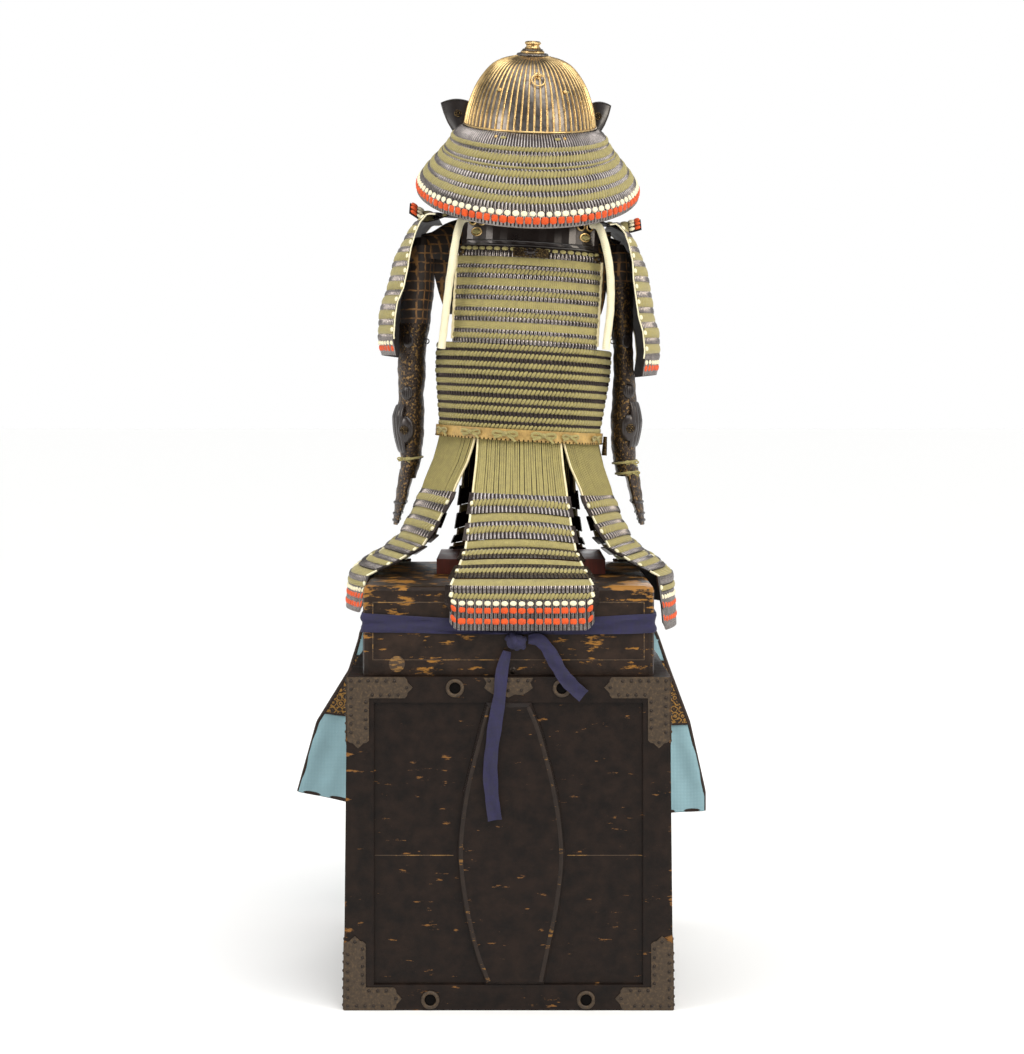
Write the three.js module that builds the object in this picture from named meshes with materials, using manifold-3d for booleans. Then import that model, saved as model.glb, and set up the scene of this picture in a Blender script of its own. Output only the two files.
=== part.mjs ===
// Samurai armour seen from behind, dressed on a small stand on the lid of its own storage box.
// Millimetres, +Z up. The armour's back looks to -Y and its front to +Y.
// The origin is the middle of the box's underside, on the floor.
import * as THREE from "three";
import { mergeVertices } from "three/addons/utils/BufferGeometryUtils.js";
import Module from "manifold-3d";

const wasm = await Module();
wasm.setup();

// Driving dimensions
const SEAM = 0.3;
const LACED = 3; // wall of a laced lame, its cords included
const CLOTH = 2.5;
const HIGH = 3.2; // how far a lacing band stands out at its lower edge
const LOW = 0.5;

const BOX = { width: 504, foot: 514, depth: 500, height: 520, board: 14, rail: 40, stile: 42, recess: 5 };
const LEDGE = { reach: 26, height: 20 };
const LID = { width: 458, depth: 468, height: 140, board: 11, round: 7 };
const BACK_BOARD = [
  { z: 481, left: -36, right: 37 },
  { z: 430, left: -48, right: 54 },
  { z: 340, left: -70, right: 77 },
  { z: 250, left: -80, right: 88 },
  { z: 170, left: -72, right: 81 },
  { z: 95, left: -55, right: 66 },
  { z: 40, left: -37, right: 56 },
];
const BACK_BOARD_DEPTH = 6;
const BACK_BOARD_BEVEL = 6;

// The cuirass leans a little towards +X about the middle of its waist.
const WAIST = { x: 21, y: 40, z: 950, lean: 3.3 };
const BODY = [
  { w: 312, half: 145, rear: 104, front: 100 },
  { w: 256, half: 146, rear: 110, front: 106 },
  { w: 180, half: 146, rear: 119, front: 117 },
  { w: 93, half: 145.5, rear: 123, front: 122 },
  { w: 50, half: 145.5, rear: 122, front: 121 },
  { w: -54, half: 132.5, rear: 112, front: 112 },
];
const DO = { top: 93, bottom: -54, backTop: 255, frontTop: 196, backSpan: 55, frontSpan: 48 };
const COLLAR = { bottom: 255.6, top: 312, span: 50, thick: 4, slats: 10 };
const BELT = { top: -47, bottom: -66, gap: 7.4, thick: 3 };
const STRAP = { width: 46, thick: 5, offset: 84, inset: 4 };
const STRAP_PATH = [
  { y: -80, w: 304 },
  { y: -52, w: 312 },
  { y: 25, w: 312 },
  { y: 55, w: 298 },
  { y: 80, w: 268 },
  { y: 96, w: 232 },
  { y: 104, w: 198 },
];

// Heights and outward runs of the skirt below the waist, and the share of its own lames.
const SKIRT = [
  { row: 0, z: 895, run: 0 },
  { row: 0.16, z: 880, run: 0.008 },
  { row: 0.5, z: 845, run: 0.07 },
  { row: 1, z: 797, run: 0.2 },
  { row: 2, z: 755, run: 0.33 },
  { row: 3, z: 715, run: 0.47 },
  { row: 4, z: 690, run: 0.68 },
  { row: 5, z: 661, run: 0.97 },
  { row: 6, z: 593, run: 1 },
];
const TASSETS = [
  { name: "rear_centre", from: -31, to: 31, x0: -93, y0: -249, x1: 135, y1: -249, bow: 7, hem: 593, cords: 19 },
  { name: "rear_left", from: -88, to: -33, x0: -272, y0: 78, x1: -237, y1: -85, bow: 14, hem: 601, cords: 14 },
  { name: "rear_right", from: 33, to: 88, x0: 250, y0: -90, x1: 277, y1: 75, bow: 14, hem: 573, cords: 14 },
  { name: "side_left", from: -134, to: -91, x0: -190, y0: 263, x1: -273, y1: 118, bow: 32, hem: 593, cords: 12 },
  { name: "side_right", from: 91, to: 134, x0: 277, y0: 118, x1: 200, y1: 263, bow: 32, hem: 592, cords: 12 },
  { name: "front_left", from: -178.5, to: -136, x0: 6, y0: 258, x1: -112, y1: 258, bow: 5, hem: 570, cords: 11 },
  { name: "front_right", from: 136, to: 178.5, x0: 142, y0: 258, x1: 24, y1: 258, bow: 5, hem: 570, cords: 11 },
];
const SKIRT_LAMES = 5;
const TASSET_BANDS = 2 * SKIRT_LAMES;
const SKIRT_GAP = 1.2;

// The helmet tips back, so that its rear rim is lower than its sides.
const HELMET = { x: 36, y: 40, z: 1417, tip: 14, roll: 2, ribs: 62, long: 1.107, wall: 2.5, rib: 1.6 };
const BOWL = [
  { rise: 0, radius: 112 },
  { rise: 36, radius: 105.5 },
  { rise: 74, radius: 91 },
  { rise: 103, radius: 70 },
  { rise: 116, radius: 50 },
  { rise: 122.5, radius: 26 },
];
const BOWL_TOP = BOWL[BOWL.length - 1].rise;
const GUARD = { span: 118, halfTop: 114, rearTop: 126.1, halfHem: 184, rearHem: 195, back: -20, lames: 5 };
const GUARD_DROP = { start: 2, rear: -138, side: -105 };
const GUARD_ROWS = [
  { drop: 0, run: 0 },
  { drop: 0.12, run: 0.21 },
  { drop: 0.26, run: 0.3 },
  { drop: 0.43, run: 0.5 },
  { drop: 0.6, run: 0.72 },
  { drop: 0.78, run: 0.94 },
  { drop: 0.89, run: 1.03 },
  { drop: 1, run: 1.04 },
];
const NECK_BAND_END = 0.13;

// Shoulder guards: outline seen from behind, from the top plate to the hem.
const SODE = { depth: 205, middle: 38, curl: 30, bands: 11 };
const SODE_LEFT = [
  { x: 120, z: 1262.6 },
  { x: 143, z: 1262.5 },
  { x: 159, z: 1249 },
  { x: 171, z: 1232 },
  { x: 184, z: 1208 },
  { x: 195, z: 1182 },
  { x: 204, z: 1140 },
  { x: 214, z: 1117 },
  { x: 218, z: 1090 },
  { x: 220, z: 1060 },
  { x: 214, z: 1029 },
];
const SODE_RIGHT = [
  { x: 166, z: 1244.6 },
  { x: 186, z: 1246.1 },
  { x: 203, z: 1233 },
  { x: 215, z: 1213 },
  { x: 228, z: 1184 },
  { x: 237, z: 1150 },
  { x: 241, z: 1120 },
  { x: 245, z: 1092 },
  { x: 252, z: 1068 },
  { x: 255, z: 1035 },
  { x: 249, z: 995 },
];
const KOHIRE_LEFT = [
  { x: -60, z: 1262.8 },
  { x: -98, z: 1265.5 },
  { x: -124, z: 1267.5 },
  { x: -146, z: 1271.5 },
  { x: -168, z: 1286 },
];
const KOHIRE_RIGHT = [
  { x: 136, z: 1251 },
  { x: 168, z: 1250.4 },
  { x: 188, z: 1250.6 },
  { x: 206, z: 1253 },
  { x: 224, z: 1258 },
];
const KOHIRE = { rear: -8, front: 60, droop: 0.5 };

// Sleeves: middle and half sizes of the cloth tube's inside at each height.
const SLEEVE_LEFT = [
  { z: 1214, x: -148, y: 40, across: 22, along: 40 },
  { z: 1150, x: -154, y: 40, across: 25, along: 43 },
  { z: 1080, x: -161, y: 40, across: 23.5, along: 40 },
  { z: 1030, x: -165.5, y: 42, across: 20, along: 36 },
  { z: 1005, x: -166, y: 43, across: 22, along: 36 },
  { z: 960, x: -167, y: 45, across: 18.5, along: 34 },
  { z: 925, x: -169, y: 47, across: 22, along: 36 },
  { z: 890, x: -168, y: 49, across: 19.5, along: 34 },
  { z: 850, x: -168, y: 53, across: 15, along: 30 },
  { z: 818, x: -173, y: 57, across: 11, along: 28 },
];
const SLEEVE_RIGHT = [
  { z: 1202, x: 188, y: 40, across: 18, along: 40 },
  { z: 1150, x: 189, y: 40, across: 22, along: 43 },
  { z: 1080, x: 193, y: 40, across: 17, along: 40 },
  { z: 1040, x: 195.5, y: 42, across: 14, along: 36 },
  { z: 1000, x: 197, y: 43, across: 15, along: 36 },
  { z: 960, x: 198, y: 45, across: 18, along: 36 },
  { z: 915, x: 198, y: 47, across: 21, along: 35 },
  { z: 880, x: 197, y: 49, across: 19, along: 32 },
  { z: 850, x: 198, y: 52, across: 17, along: 30 },
  { z: 822, x: 203, y: 55, across: 14, along: 28 },
];
const SLEEVE_SIDES = 12;
const HAND_SEAT = -0.3;
const ARM_LEFT = { side: -1, plateTop: 945, plateEnd: 862, cuff: 818, handShift: 14, handEnd: 738 };
const ARM_RIGHT = { side: 1, plateTop: 950, plateEnd: 872, cuff: 822, handShift: 16, handEnd: 738 };

// Thigh guards: outline of each panel, its outer edge seen from behind, hanging before the box.
const THIGH_ROWS = [
  { z: 588, left: 238, right: 238, y: 235.6 },
  { z: 560, left: 252, right: 250, y: 237 },
  { z: 532, left: 268, right: 265, y: 244 },
  { z: 516, left: 272, right: 272, y: 254 },
  { z: 459, left: 290, right: 292, y: 257 },
  { z: 364, left: 349, right: 328, y: 262 },
  { z: 236, left: 385, right: 357, y: 268 },
];
const THIGH = { inner: 8, wall: 3, folds: 3.5, foldDepth: 5, innerHem: 186, rightHem: 201 };
const THIGH_DOWN = [0, 0.08, 0.16, 0.205, 0.34, 0.43, 0.52, 0.62, 0.8, 1];
const THIGH_COLUMNS = 12;
const FLAP = { firstRow: 4, lastRow: 7, columns: 3 };
const SASH = { bottom: 588, height: 30, wall: 2.5, gap: 0.4, sag: 9 };
const KNOT = { x: 12, y: -246.2, z: 575, across: 17, deep: 9.5, tall: 14 };
const TAIL_LEFT = [
  { x: -2, y: -242, z: 559.5 },
  { x: -9, y: -247, z: 535 },
  { x: -12, y: -254, z: 512 },
  { x: -14, y: -257, z: 490 },
  { x: -22, y: -260.5, z: 440 },
  { x: -28, y: -261.5, z: 385 },
  { x: -26, y: -261.5, z: 340 },
  { x: -21, y: -261.5, z: 300 },
];
const TAIL_RIGHT = [
  { x: 31, y: -240.4, z: 578 },
  { x: 48, y: -242.4, z: 577 },
  { x: 62, y: -244.4, z: 562 },
  { x: 74, y: -246.4, z: 541 },
  { x: 86, y: -251.9, z: 522 },
  { x: 101, y: -254.4, z: 506 },
  { x: 117, y: -255.9, z: 492 },
];
const TAIL_WIDTH = 22;

// The two cream cords, each as a route chosen by hand from under the neck guard to its cut end.
const CORD_RADIUS = 6.6;
const CORD_LEFT = [
  [-62.8, -42.9, 1255.3],
  [-67.2, -49.8, 1255.2],
  [-72.5, -58, 1253.5],
  [-78, -66, 1249],
  [-81.5, -72, 1241],
  [-83.7, -75.5, 1232],
  [-86, -77, 1222],
  [-89, -77, 1205],
  [-92, -76, 1188],
  [-94, -74.5, 1172],
  [-97, -71, 1156],
  [-99, -68, 1140],
  [-101, -65, 1124],
  [-103, -62, 1108],
  [-105, -59, 1092],
  [-107, -56, 1076],
  [-109, -53, 1060],
  [-111, -51, 1045],
  [-112, -50, 1038],
];
const CORD_RIGHT = [
  [139.2, -42.6, 1243.7],
  [143.3, -49, 1243.6],
  [148, -55, 1241],
  [152.4, -59, 1234.5],
  [156, -60.8, 1224],
  [160, -61, 1210],
  [164, -59, 1193],
  [167, -56, 1176],
  [169, -53, 1158],
  [170, -50, 1140],
  [170, -48, 1122],
  [169.5, -47, 1104],
  [168, -47, 1088],
  [166, -48, 1072],
  [164, -49, 1058],
  [162.5, -50, 1044],
  [162, -50, 1036],
];

const STAND = { baseX: 20.5, baseY: 82.5, width: 283, depth: 215, height: 25, post: 40 };

// Colours and finishes
const FINISH = {
  lacing: { color: 0x9f9860, roughness: 0.8, metalness: 0 },
  lacquer: { color: 0x2a2422, roughness: 0.35, metalness: 0.1 },
  gilt: { color: 0xb58a45, roughness: 0.35, metalness: 0.9 },
  iron: { color: 0x6a6256, roughness: 0.4, metalness: 0.8 },
  mail: { color: 0x2b2119, roughness: 0.7, metalness: 0.3 },
  cream: { color: 0xf6e8b8, roughness: 0.8, metalness: 0 },
  leather: { color: 0xb8803a, roughness: 0.6, metalness: 0 },
  sash: { color: 0x34335a, roughness: 0.9, metalness: 0 },
  linen: { color: 0x8fb4be, roughness: 0.9, metalness: 0 },
  brocade: { color: 0x4a3420, roughness: 0.8, metalness: 0 },
  wood: { color: 0x2e2a26, roughness: 0.5, metalness: 0 },
  stand: { color: 0x6a6661, roughness: 0.6, metalness: 0 },
};

const armour = new THREE.Group();

const point = (x, y, z) => new THREE.Vector3(x, y, z);
const mix = (a, b, t) => a + (b - a) * t;
const radians = THREE.MathUtils.degToRad;
const steps = (count) => Array.from({ length: count + 1 }, (_, i) => i / count);

// Value of a table's column where another of its columns, rising or falling, has the value given.
function read(table, column, value, wanted) {
  const falling = table[0][column] > table[table.length - 1][column];
  let i = 0;
  while (i < table.length - 2 && (falling ? table[i + 1][column] > value : table[i + 1][column] < value)) i++;
  const a = table[i];
  const b = table[i + 1];
  const t = THREE.MathUtils.clamp((value - a[column]) / (b[column] - a[column]), 0, 1);
  return mix(a[wanted], b[wanted], t);
}

// Shares of a polyline's length at its points, for pairing the edges of a wall.
function shares(line) {
  const run = [0];
  for (let i = 1; i < line.length; i++) run.push(run[i - 1] + line[i].distanceTo(line[i - 1]));
  return run.map((length) => length / run[run.length - 1]);
}

// A closed geometry from points and faces, turned to face out.
function closed(points, faces) {
  let volume = 0;
  for (const [a, b, c] of faces) volume += points[a].dot(points[b].clone().cross(points[c]));
  const out = volume < 0 ? faces.map(([a, b, c]) => [a, c, b]) : faces;
  const flat = points.flatMap((p) => [p.x, p.y, p.z]);
  const geometry = new THREE.BufferGeometry();
  geometry.setAttribute("position", new THREE.Float32BufferAttribute(flat, 3));
  geometry.setIndex(out.flat());
  geometry.computeVertexNormals();
  return geometry;
}

// A wall between an outer and an inner grid of points, whose rows may differ in number.
// A capped wall is a dome: each of its first rows is closed by a flat crown.
function wall(outer, inner, wrap, capped = false) {
  const points = [];
  const faces = [];
  const enter = (grid) => grid.map((row) => row.map((p) => points.push(p) - 1));
  const out = enter(outer);
  const inn = enter(inner);
  const round = (row) => (wrap ? [...row, row[0]] : row);
  const skin = (ids, turned) => {
    for (let i = 0; i + 1 < ids.length; i++) {
      const upper = round(ids[i]);
      const lower = round(ids[i + 1]);
      for (let j = 0; j + 1 < upper.length; j++) {
        const quad = [upper[j], lower[j], lower[j + 1], upper[j + 1]];
        const [a, b, c, d] = turned ? [...quad].reverse() : quad;
        faces.push([a, b, c], [a, c, d]);
      }
    }
  };
  const edge = (first, second, turned) => {
    const s = shares(first.map((id) => points[id]));
    const t = shares(second.map((id) => points[id]));
    let i = 0;
    let j = 0;
    while (i + 1 < first.length || j + 1 < second.length) {
      const next = j + 1 >= second.length || (i + 1 < first.length && s[i + 1] <= t[j + 1]);
      const face = next ? [first[i], first[i + 1], second[j]] : [first[i], second[j + 1], second[j]];
      faces.push(turned ? face.reverse() : face);
      if (next) i++;
      else j++;
    }
  };
  const crown = (ids, turned) => {
    const middle = ids.reduce((sum, id) => sum.add(points[id]), point(0, 0, 0)).divideScalar(ids.length);
    const top = points.push(middle) - 1;
    round(ids).slice(1).forEach((id, j) => faces.push(turned ? [top, id, ids[j]] : [top, ids[j], id]));
  };
  skin(out, false);
  skin(inn, true);
  if (capped) {
    crown(out[0], false);
    crown(inn[0], true);
  } else {
    edge(round(out[0]), round(inn[0]), false);
  }
  edge(round(out[out.length - 1]), round(inn[inn.length - 1]), true);
  if (!wrap) {
    const column = (ids, j) => ids.map((row) => row[j]);
    edge(column(out, 0), column(inn, 0), true);
    edge(column(out, out[0].length - 1), column(inn, inn[0].length - 1), false);
  }
  return closed(points, faces);
}

// Directions square to a grid's surface, to the side that the sign gives.
function normals(grid, wrap, side) {
  const last = grid.length - 1;
  return grid.map((row, i) =>
    row.map((_, j) => {
      const n = row.length;
      const up = grid[Math.max(i - 1, 0)][j];
      const down = grid[Math.min(i + 1, last)][j];
      const left = row[wrap ? (j - 1 + n) % n : Math.max(j - 1, 0)];
      const right = row[wrap ? (j + 1) % n : Math.min(j + 1, n - 1)];
      return down.clone().sub(up).cross(right.clone().sub(left)).normalize().multiplyScalar(side);
    }),
  );
}

// A sheet on a grid of inner points, with its outer points moved out by the wall and by what is raised on it.
function sheet(grid, { thick, raise = () => 0, wrap = false, side = 1, plainRows = 0, plainColumns = 0 }) {
  const out = normals(grid, wrap, side);
  const outer = grid.map((row, i) =>
    row.map((p, j) => p.clone().addScaledVector(out[i][j], thick + raise(i, j))),
  );
  const thin = (list, count) =>
    count ? steps(count - 1).map((t) => list[Math.round(t * (list.length - 1))]) : list;
  return wall(outer, thin(grid, plainRows).map((row) => thin(row, plainColumns)), wrap);
}

// Rows of overlapping bands: each starts low and ends high.
function bandRows(count) {
  const rows = [];
  for (let k = 0; k < count; k++) rows.push({ at: k / count, raise: LOW }, { at: (k + 0.93) / count, raise: HIGH });
  rows.push({ at: 1, raise: HIGH * 0.6 });
  return rows;
}

function place(name, geometry, finish, parent = armour) {
  const mesh = new THREE.Mesh(geometry, new THREE.MeshStandardMaterial(FINISH[finish]));
  mesh.name = name;
  parent.add(mesh);
  return mesh;
}

// A geometry as a solid that can be cut and joined, and back.
function solid(geometry, matrix = new THREE.Matrix4()) {
  const bare = new THREE.BufferGeometry();
  bare.setAttribute("position", geometry.getAttribute("position").clone());
  if (geometry.index) bare.setIndex(geometry.index.clone());
  bare.applyMatrix4(matrix);
  const merged = mergeVertices(bare, 1e-3);
  const triVerts = new Uint32Array(merged.index.array);
  const vertProperties = new Float32Array(merged.getAttribute("position").array);
  return new wasm.Manifold(new wasm.Mesh({ numProp: 3, vertProperties, triVerts }));
}

function geometryOf(manifold) {
  const { vertProperties, triVerts } = manifold.getMesh();
  const geometry = new THREE.BufferGeometry();
  geometry.setAttribute("position", new THREE.BufferAttribute(new Float32Array(vertProperties), 3));
  geometry.setIndex(new THREE.BufferAttribute(new Uint32Array(triVerts), 1));
  geometry.computeVertexNormals();
  return geometry;
}

function boxBetween(low, high) {
  const size = high.clone().sub(low);
  const middle = low.clone().add(high).multiplyScalar(0.5);
  return new THREE.BoxGeometry(size.x, size.y, size.z).translate(middle.x, middle.y, middle.z);
}

// A solid loft through level outlines, closed by its first and last one.
function loft(outlines) {
  const points = outlines.flat();
  const n = outlines[0].length;
  const faces = [];
  for (let i = 0; i + 1 < outlines.length; i++) {
    for (let j = 0; j < n; j++) {
      const a = i * n + j;
      const b = i * n + ((j + 1) % n);
      faces.push([a, a + n, b + n], [a, b + n, b]);
    }
  }
  const last = (outlines.length - 1) * n;
  for (let j = 1; j + 1 < n; j++) faces.push([0, j, j + 1], [last, last + j + 1, last + j]);
  return closed(points, faces);
}

// A rounded rectangle seen from above, starting behind the middle of its rear side.
function roundedOutline(halfX, halfY, corner, z, perCorner = 3) {
  const centres = [
    { x: 1, y: -1, turn: -90 },
    { x: 1, y: 1, turn: 0 },
    { x: -1, y: 1, turn: 90 },
    { x: -1, y: -1, turn: 180 },
  ];
  return centres.flatMap(({ x, y, turn }) =>
    steps(perCorner).map((t) => {
      const angle = radians(turn + 90 * t);
      const cx = x * (halfX - corner);
      const cy = y * (halfY - corner);
      return point(cx + corner * Math.cos(angle), cy + corner * Math.sin(angle), z);
    }),
  );
}

// Storage box
function buildBox() {
  const outline = (half, z) => [
    point(-half, -BOX.depth / 2, z),
    point(half, -BOX.depth / 2, z),
    point(half, BOX.depth / 2, z),
    point(-half, BOX.depth / 2, z),
  ];
  const half = BOX.width / 2;
  const deep = BOX.depth / 2;
  let body = solid(loft([outline(BOX.foot / 2, 0), outline(half, BOX.height)]));
  const inside = { x: half - BOX.board - BOX.recess, y: deep - BOX.board - BOX.recess };
  const mouth = { x: inside.x - LEDGE.reach, y: inside.y - LEDGE.reach };
  const ledge = BOX.height - LEDGE.height;
  const low = BOX.rail;
  const high = BOX.height - BOX.rail;
  const across = half - BOX.stile;
  const along = deep - BOX.stile;
  const cuts = [
    boxBetween(point(-inside.x, -inside.y, BOX.board), point(inside.x, inside.y, ledge)),
    boxBetween(point(-mouth.x, -mouth.y, ledge - 1), point(mouth.x, mouth.y, BOX.height + 1)),
  ];
  for (const s of [-1, 1]) {
    const faceY = [s * (deep - BOX.recess), s * (deep + 1)].sort((a, b) => a - b);
    const faceX = [s * (half - BOX.recess + 1), s * (BOX.foot / 2 + 1)].sort((a, b) => a - b);
    cuts.push(boxBetween(point(-across, faceY[0], low), point(across, faceY[1], high)));
    cuts.push(boxBetween(point(faceX[0], -along, low), point(faceX[1], along, high)));
  }
  for (const cut of cuts) body = body.subtract(solid(cut));
  place("box_body", geometryOf(body), "wood");
}

function buildBackBoard() {
  const outline = new THREE.Shape();
  const inset = BACK_BOARD_BEVEL;
  const right = BACK_BOARD.map(({ z, right: x }) => new THREE.Vector2(x - inset, z));
  const left = BACK_BOARD.map(({ z, left: x }) => new THREE.Vector2(x + inset, z)).reverse();
  right[0].y -= inset + 1;
  left[left.length - 1].y -= inset + 1;
  right[right.length - 1].y += inset + 1;
  left[0].y += inset + 1;
  outline.setFromPoints([...right, ...left]);
  const board = new THREE.ExtrudeGeometry(outline, {
    depth: BACK_BOARD_DEPTH,
    bevelEnabled: true,
    bevelThickness: BACK_BOARD_BEVEL,
    bevelSize: BACK_BOARD_BEVEL,
    bevelSegments: 1,
    curveSegments: 1,
  });
  // Only the bevel that faces away from the box is kept.
  const kept = solid(board).intersect(
    solid(boxBetween(point(-200, 0, 0), point(200, BOX.height, 2 * BACK_BOARD_DEPTH + BACK_BOARD_BEVEL))),
  );
  const mesh = place("box_back_board", geometryOf(kept), "wood");
  mesh.rotation.x = Math.PI / 2;
  mesh.position.y = -BOX.depth / 2 + BOX.recess - SEAM;
}

function buildLid() {
  const halfX = LID.width / 2;
  const halfY = LID.depth / 2;
  const foot = BOX.height + SEAM;
  const top = BOX.height + LID.height;
  const rows = [
    { z: foot, out: 0 },
    { z: top - 14, out: 0 },
    { z: top - LID.round, out: 0 },
    { z: top - 2, out: -2 },
    { z: top, out: -LID.round },
  ];
  const shell = loft(rows.map(({ z, out }) => roundedOutline(halfX + out, halfY + out, 9, z, 2)));
  const hollow = boxBetween(
    point(-halfX + LID.board, -halfY + LID.board, foot - 1),
    point(halfX - LID.board, halfY - LID.board, top - LID.board),
  );
  place("box_lid", geometryOf(solid(shell).subtract(solid(hollow))), "wood");
}

// Stand: base block, post, shoulder arms with a pad in each sleeve, and the helmet's pad
function rodBetween(from, to, radius, sides = 10) {
  const way = to.clone().sub(from);
  const rod = new THREE.CylinderGeometry(radius, radius, way.length(), sides);
  const turn = new THREE.Quaternion().setFromUnitVectors(point(0, 1, 0), way.clone().normalize());
  const middle = from.clone().add(to).multiplyScalar(0.5);
  return rod.applyQuaternion(turn).translate(middle.x, middle.y, middle.z);
}

function sleevePad(table) {
  const top = table[0];
  const ring = (z, shrink) => {
    const near = { x: read(table, "z", z, "x"), y: read(table, "z", z, "y") };
    const across = read(table, "z", z, "across") - SEAM - shrink;
    const along = read(table, "z", z, "along") - SEAM - shrink;
    return steps(SLEEVE_SIDES)
      .slice(0, -1)
      .map((t) => point(near.x + across * Math.sin(2 * Math.PI * t), near.y - along * Math.cos(2 * Math.PI * t), z));
  };
  const neck = ring(top.z, 9).map((p) => p.setZ(top.z + 14));
  return loft([ring(top.z - 30, 6), ring(top.z - 22, 0.4), ring(top.z - 2, 0.1), neck]);
}

function buildStand() {
  const low = BOX.height + LID.height + SEAM;
  const base = boxBetween(
    point(STAND.baseX - STAND.width / 2, STAND.baseY - STAND.depth / 2, low),
    point(STAND.baseX + STAND.width / 2, STAND.baseY + STAND.depth / 2, low + STAND.height),
  );
  place("stand_base", base, "stand");

  const foot = low + STAND.height + SEAM;
  const square = (x, y, z, half) => [
    point(x - half, y - half, z),
    point(x + half, y - half, z),
    point(x + half, y + half, z),
    point(x - half, y + half, z),
  ];
  const neck = fromTorso(point(0, -2, 296));
  const bar = new THREE.BoxGeometry(190, 34, 24).translate(0, -2, 311.6 - 12 - SEAM);
  const crown = fromHelmet(point(0, 0, BOWL_TOP - HELMET.wall - SEAM));
  const underCrown = fromHelmet(point(0, 0, BOWL_TOP - 16));
  const pieces = [
    solid(loft([square(8, 62, foot, STAND.post / 2), square(neck.x, neck.y, neck.z, STAND.post / 2)])),
    solid(bar, torsoMatrix),
    solid(rodBetween(neck.clone().add(point(0, 0, -30)), underCrown, 15)),
    solid(rodBetween(underCrown, crown, 10, 10)),
  ];
  const arms = [
    { from: point(-92, -2, 292), table: SLEEVE_LEFT },
    { from: point(92, -2, 292), table: SLEEVE_RIGHT },
  ];
  for (const { from, table } of arms) {
    const top = table[0];
    pieces.push(solid(rodBetween(fromTorso(from), point(top.x, top.y, top.z + 12), 10, 8)));
    pieces.push(solid(sleevePad(table)));
  }
  place("stand_frame", geometryOf(pieces.reduce((a, b) => a.add(b))), "stand");
}

// Cuirass
const torsoMatrix = new THREE.Matrix4()
  .makeTranslation(WAIST.x, WAIST.y, WAIST.z)
  .multiply(new THREE.Matrix4().makeRotationY(radians(WAIST.lean)));
const fromTorso = (p) => p.clone().applyMatrix4(torsoMatrix);

// A point on the inside of the cuirass: the angle starts behind and grows towards +X.
function bodyPoint(w, degrees, out = 0) {
  const angle = radians(degrees);
  const half = read(BODY, "w", w, "half") + out;
  const deep = (Math.cos(angle) > 0 ? read(BODY, "w", w, "rear") : read(BODY, "w", w, "front")) + out;
  return point(half * Math.sin(angle), -deep * Math.cos(angle), w);
}

function bodyGrid(rows, angles, out = 0) {
  return rows.map((w) => angles.map((degrees) => bodyPoint(w, degrees, out)));
}

function bandedPanel(name, top, bottom, bands, angles, wrap) {
  const rows = bandRows(bands);
  const grid = bodyGrid(rows.map(({ at }) => mix(top, bottom, at)), angles);
  const geometry = sheet(grid, { thick: LACED, raise: (i) => rows[i].raise, wrap, plainRows: 4 });
  place(name, geometry.applyMatrix4(torsoMatrix), "lacing");
}

function buildCuirass() {
  const fan = (middle, half, count) => steps(count).map((t) => mix(middle - half, middle + half, t));
  const ring = steps(28).slice(0, -1).map((t) => 360 * t);
  bandedPanel("do_lower", DO.top, DO.bottom, 8, ring, true);
  bandedPanel("do_upper_back", DO.backTop, DO.top + SEAM, 9, fan(0, DO.backSpan, 10), false);
  bandedPanel("do_upper_front", DO.frontTop, DO.top + SEAM, 5, fan(180, DO.frontSpan, 10), false);

  const slats = fan(0, COLLAR.span, 2 * COLLAR.slats);
  const collar = bodyGrid([COLLAR.top, mix(COLLAR.top, COLLAR.bottom, 0.85), COLLAR.bottom], slats);
  const ribs = (i, j) => (i < 2 && j % 2 ? 1.4 : 0.2);
  const plate = sheet(collar, { thick: COLLAR.thick, raise: ribs });
  place("collar_plate", plate.applyMatrix4(torsoMatrix), "lacquer");

  const plaqueRows = [252, 244, 238];
  const plaque = sheet(bodyGrid(plaqueRows, fan(0.5, 11, 6), LACED + HIGH + SEAM), { thick: 2 });
  place("do_plaque", plaque.applyMatrix4(torsoMatrix), "gilt");

  const beltRows = [BELT.top, BELT.bottom].map((w) => ring.map((degrees) => bodyPoint(BELT.bottom, degrees, BELT.gap).setZ(w)));
  place("belt", sheet(beltRows, { thick: BELT.thick, wrap: true }).applyMatrix4(torsoMatrix), "leather");

  const toggleAt = bodyPoint(BELT.bottom, 82, BELT.gap + BELT.thick + SEAM);
  const toggle = new THREE.CylinderGeometry(4.5, 6.5, 32, 8).scale(0.7, 1, 1.2).rotateX(Math.PI / 2);
  toggle.translate(toggleAt.x + 4.6, toggleAt.y, BELT.bottom - 2);
  place("belt_toggle", toggle.applyMatrix4(torsoMatrix), "gilt");
}

function buildStraps() {
  for (const { name, side } of [
    { name: "shoulder_strap_left", side: -1 },
    { name: "shoulder_strap_right", side: 1 },
  ]) {
    const across = steps(3).map((t) => side * STRAP.offset + mix(-0.5, 0.5, t) * STRAP.width);
    // The rear end follows the inside of the collar plate.
    const rear = (x) => -bodyPoint(STRAP_PATH[0].w, THREE.MathUtils.radToDeg(Math.asin(x / BODY[0].half))).y;
    const grid = STRAP_PATH.map(({ y, w }, i) =>
      across.map((x) => point(x, i ? y : STRAP.inset - rear(x), w)),
    );
    const strap = sheet(grid, { thick: STRAP.thick, side: -1 });
    place(name, strap.applyMatrix4(torsoMatrix), "lacquer");
  }
}

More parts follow.
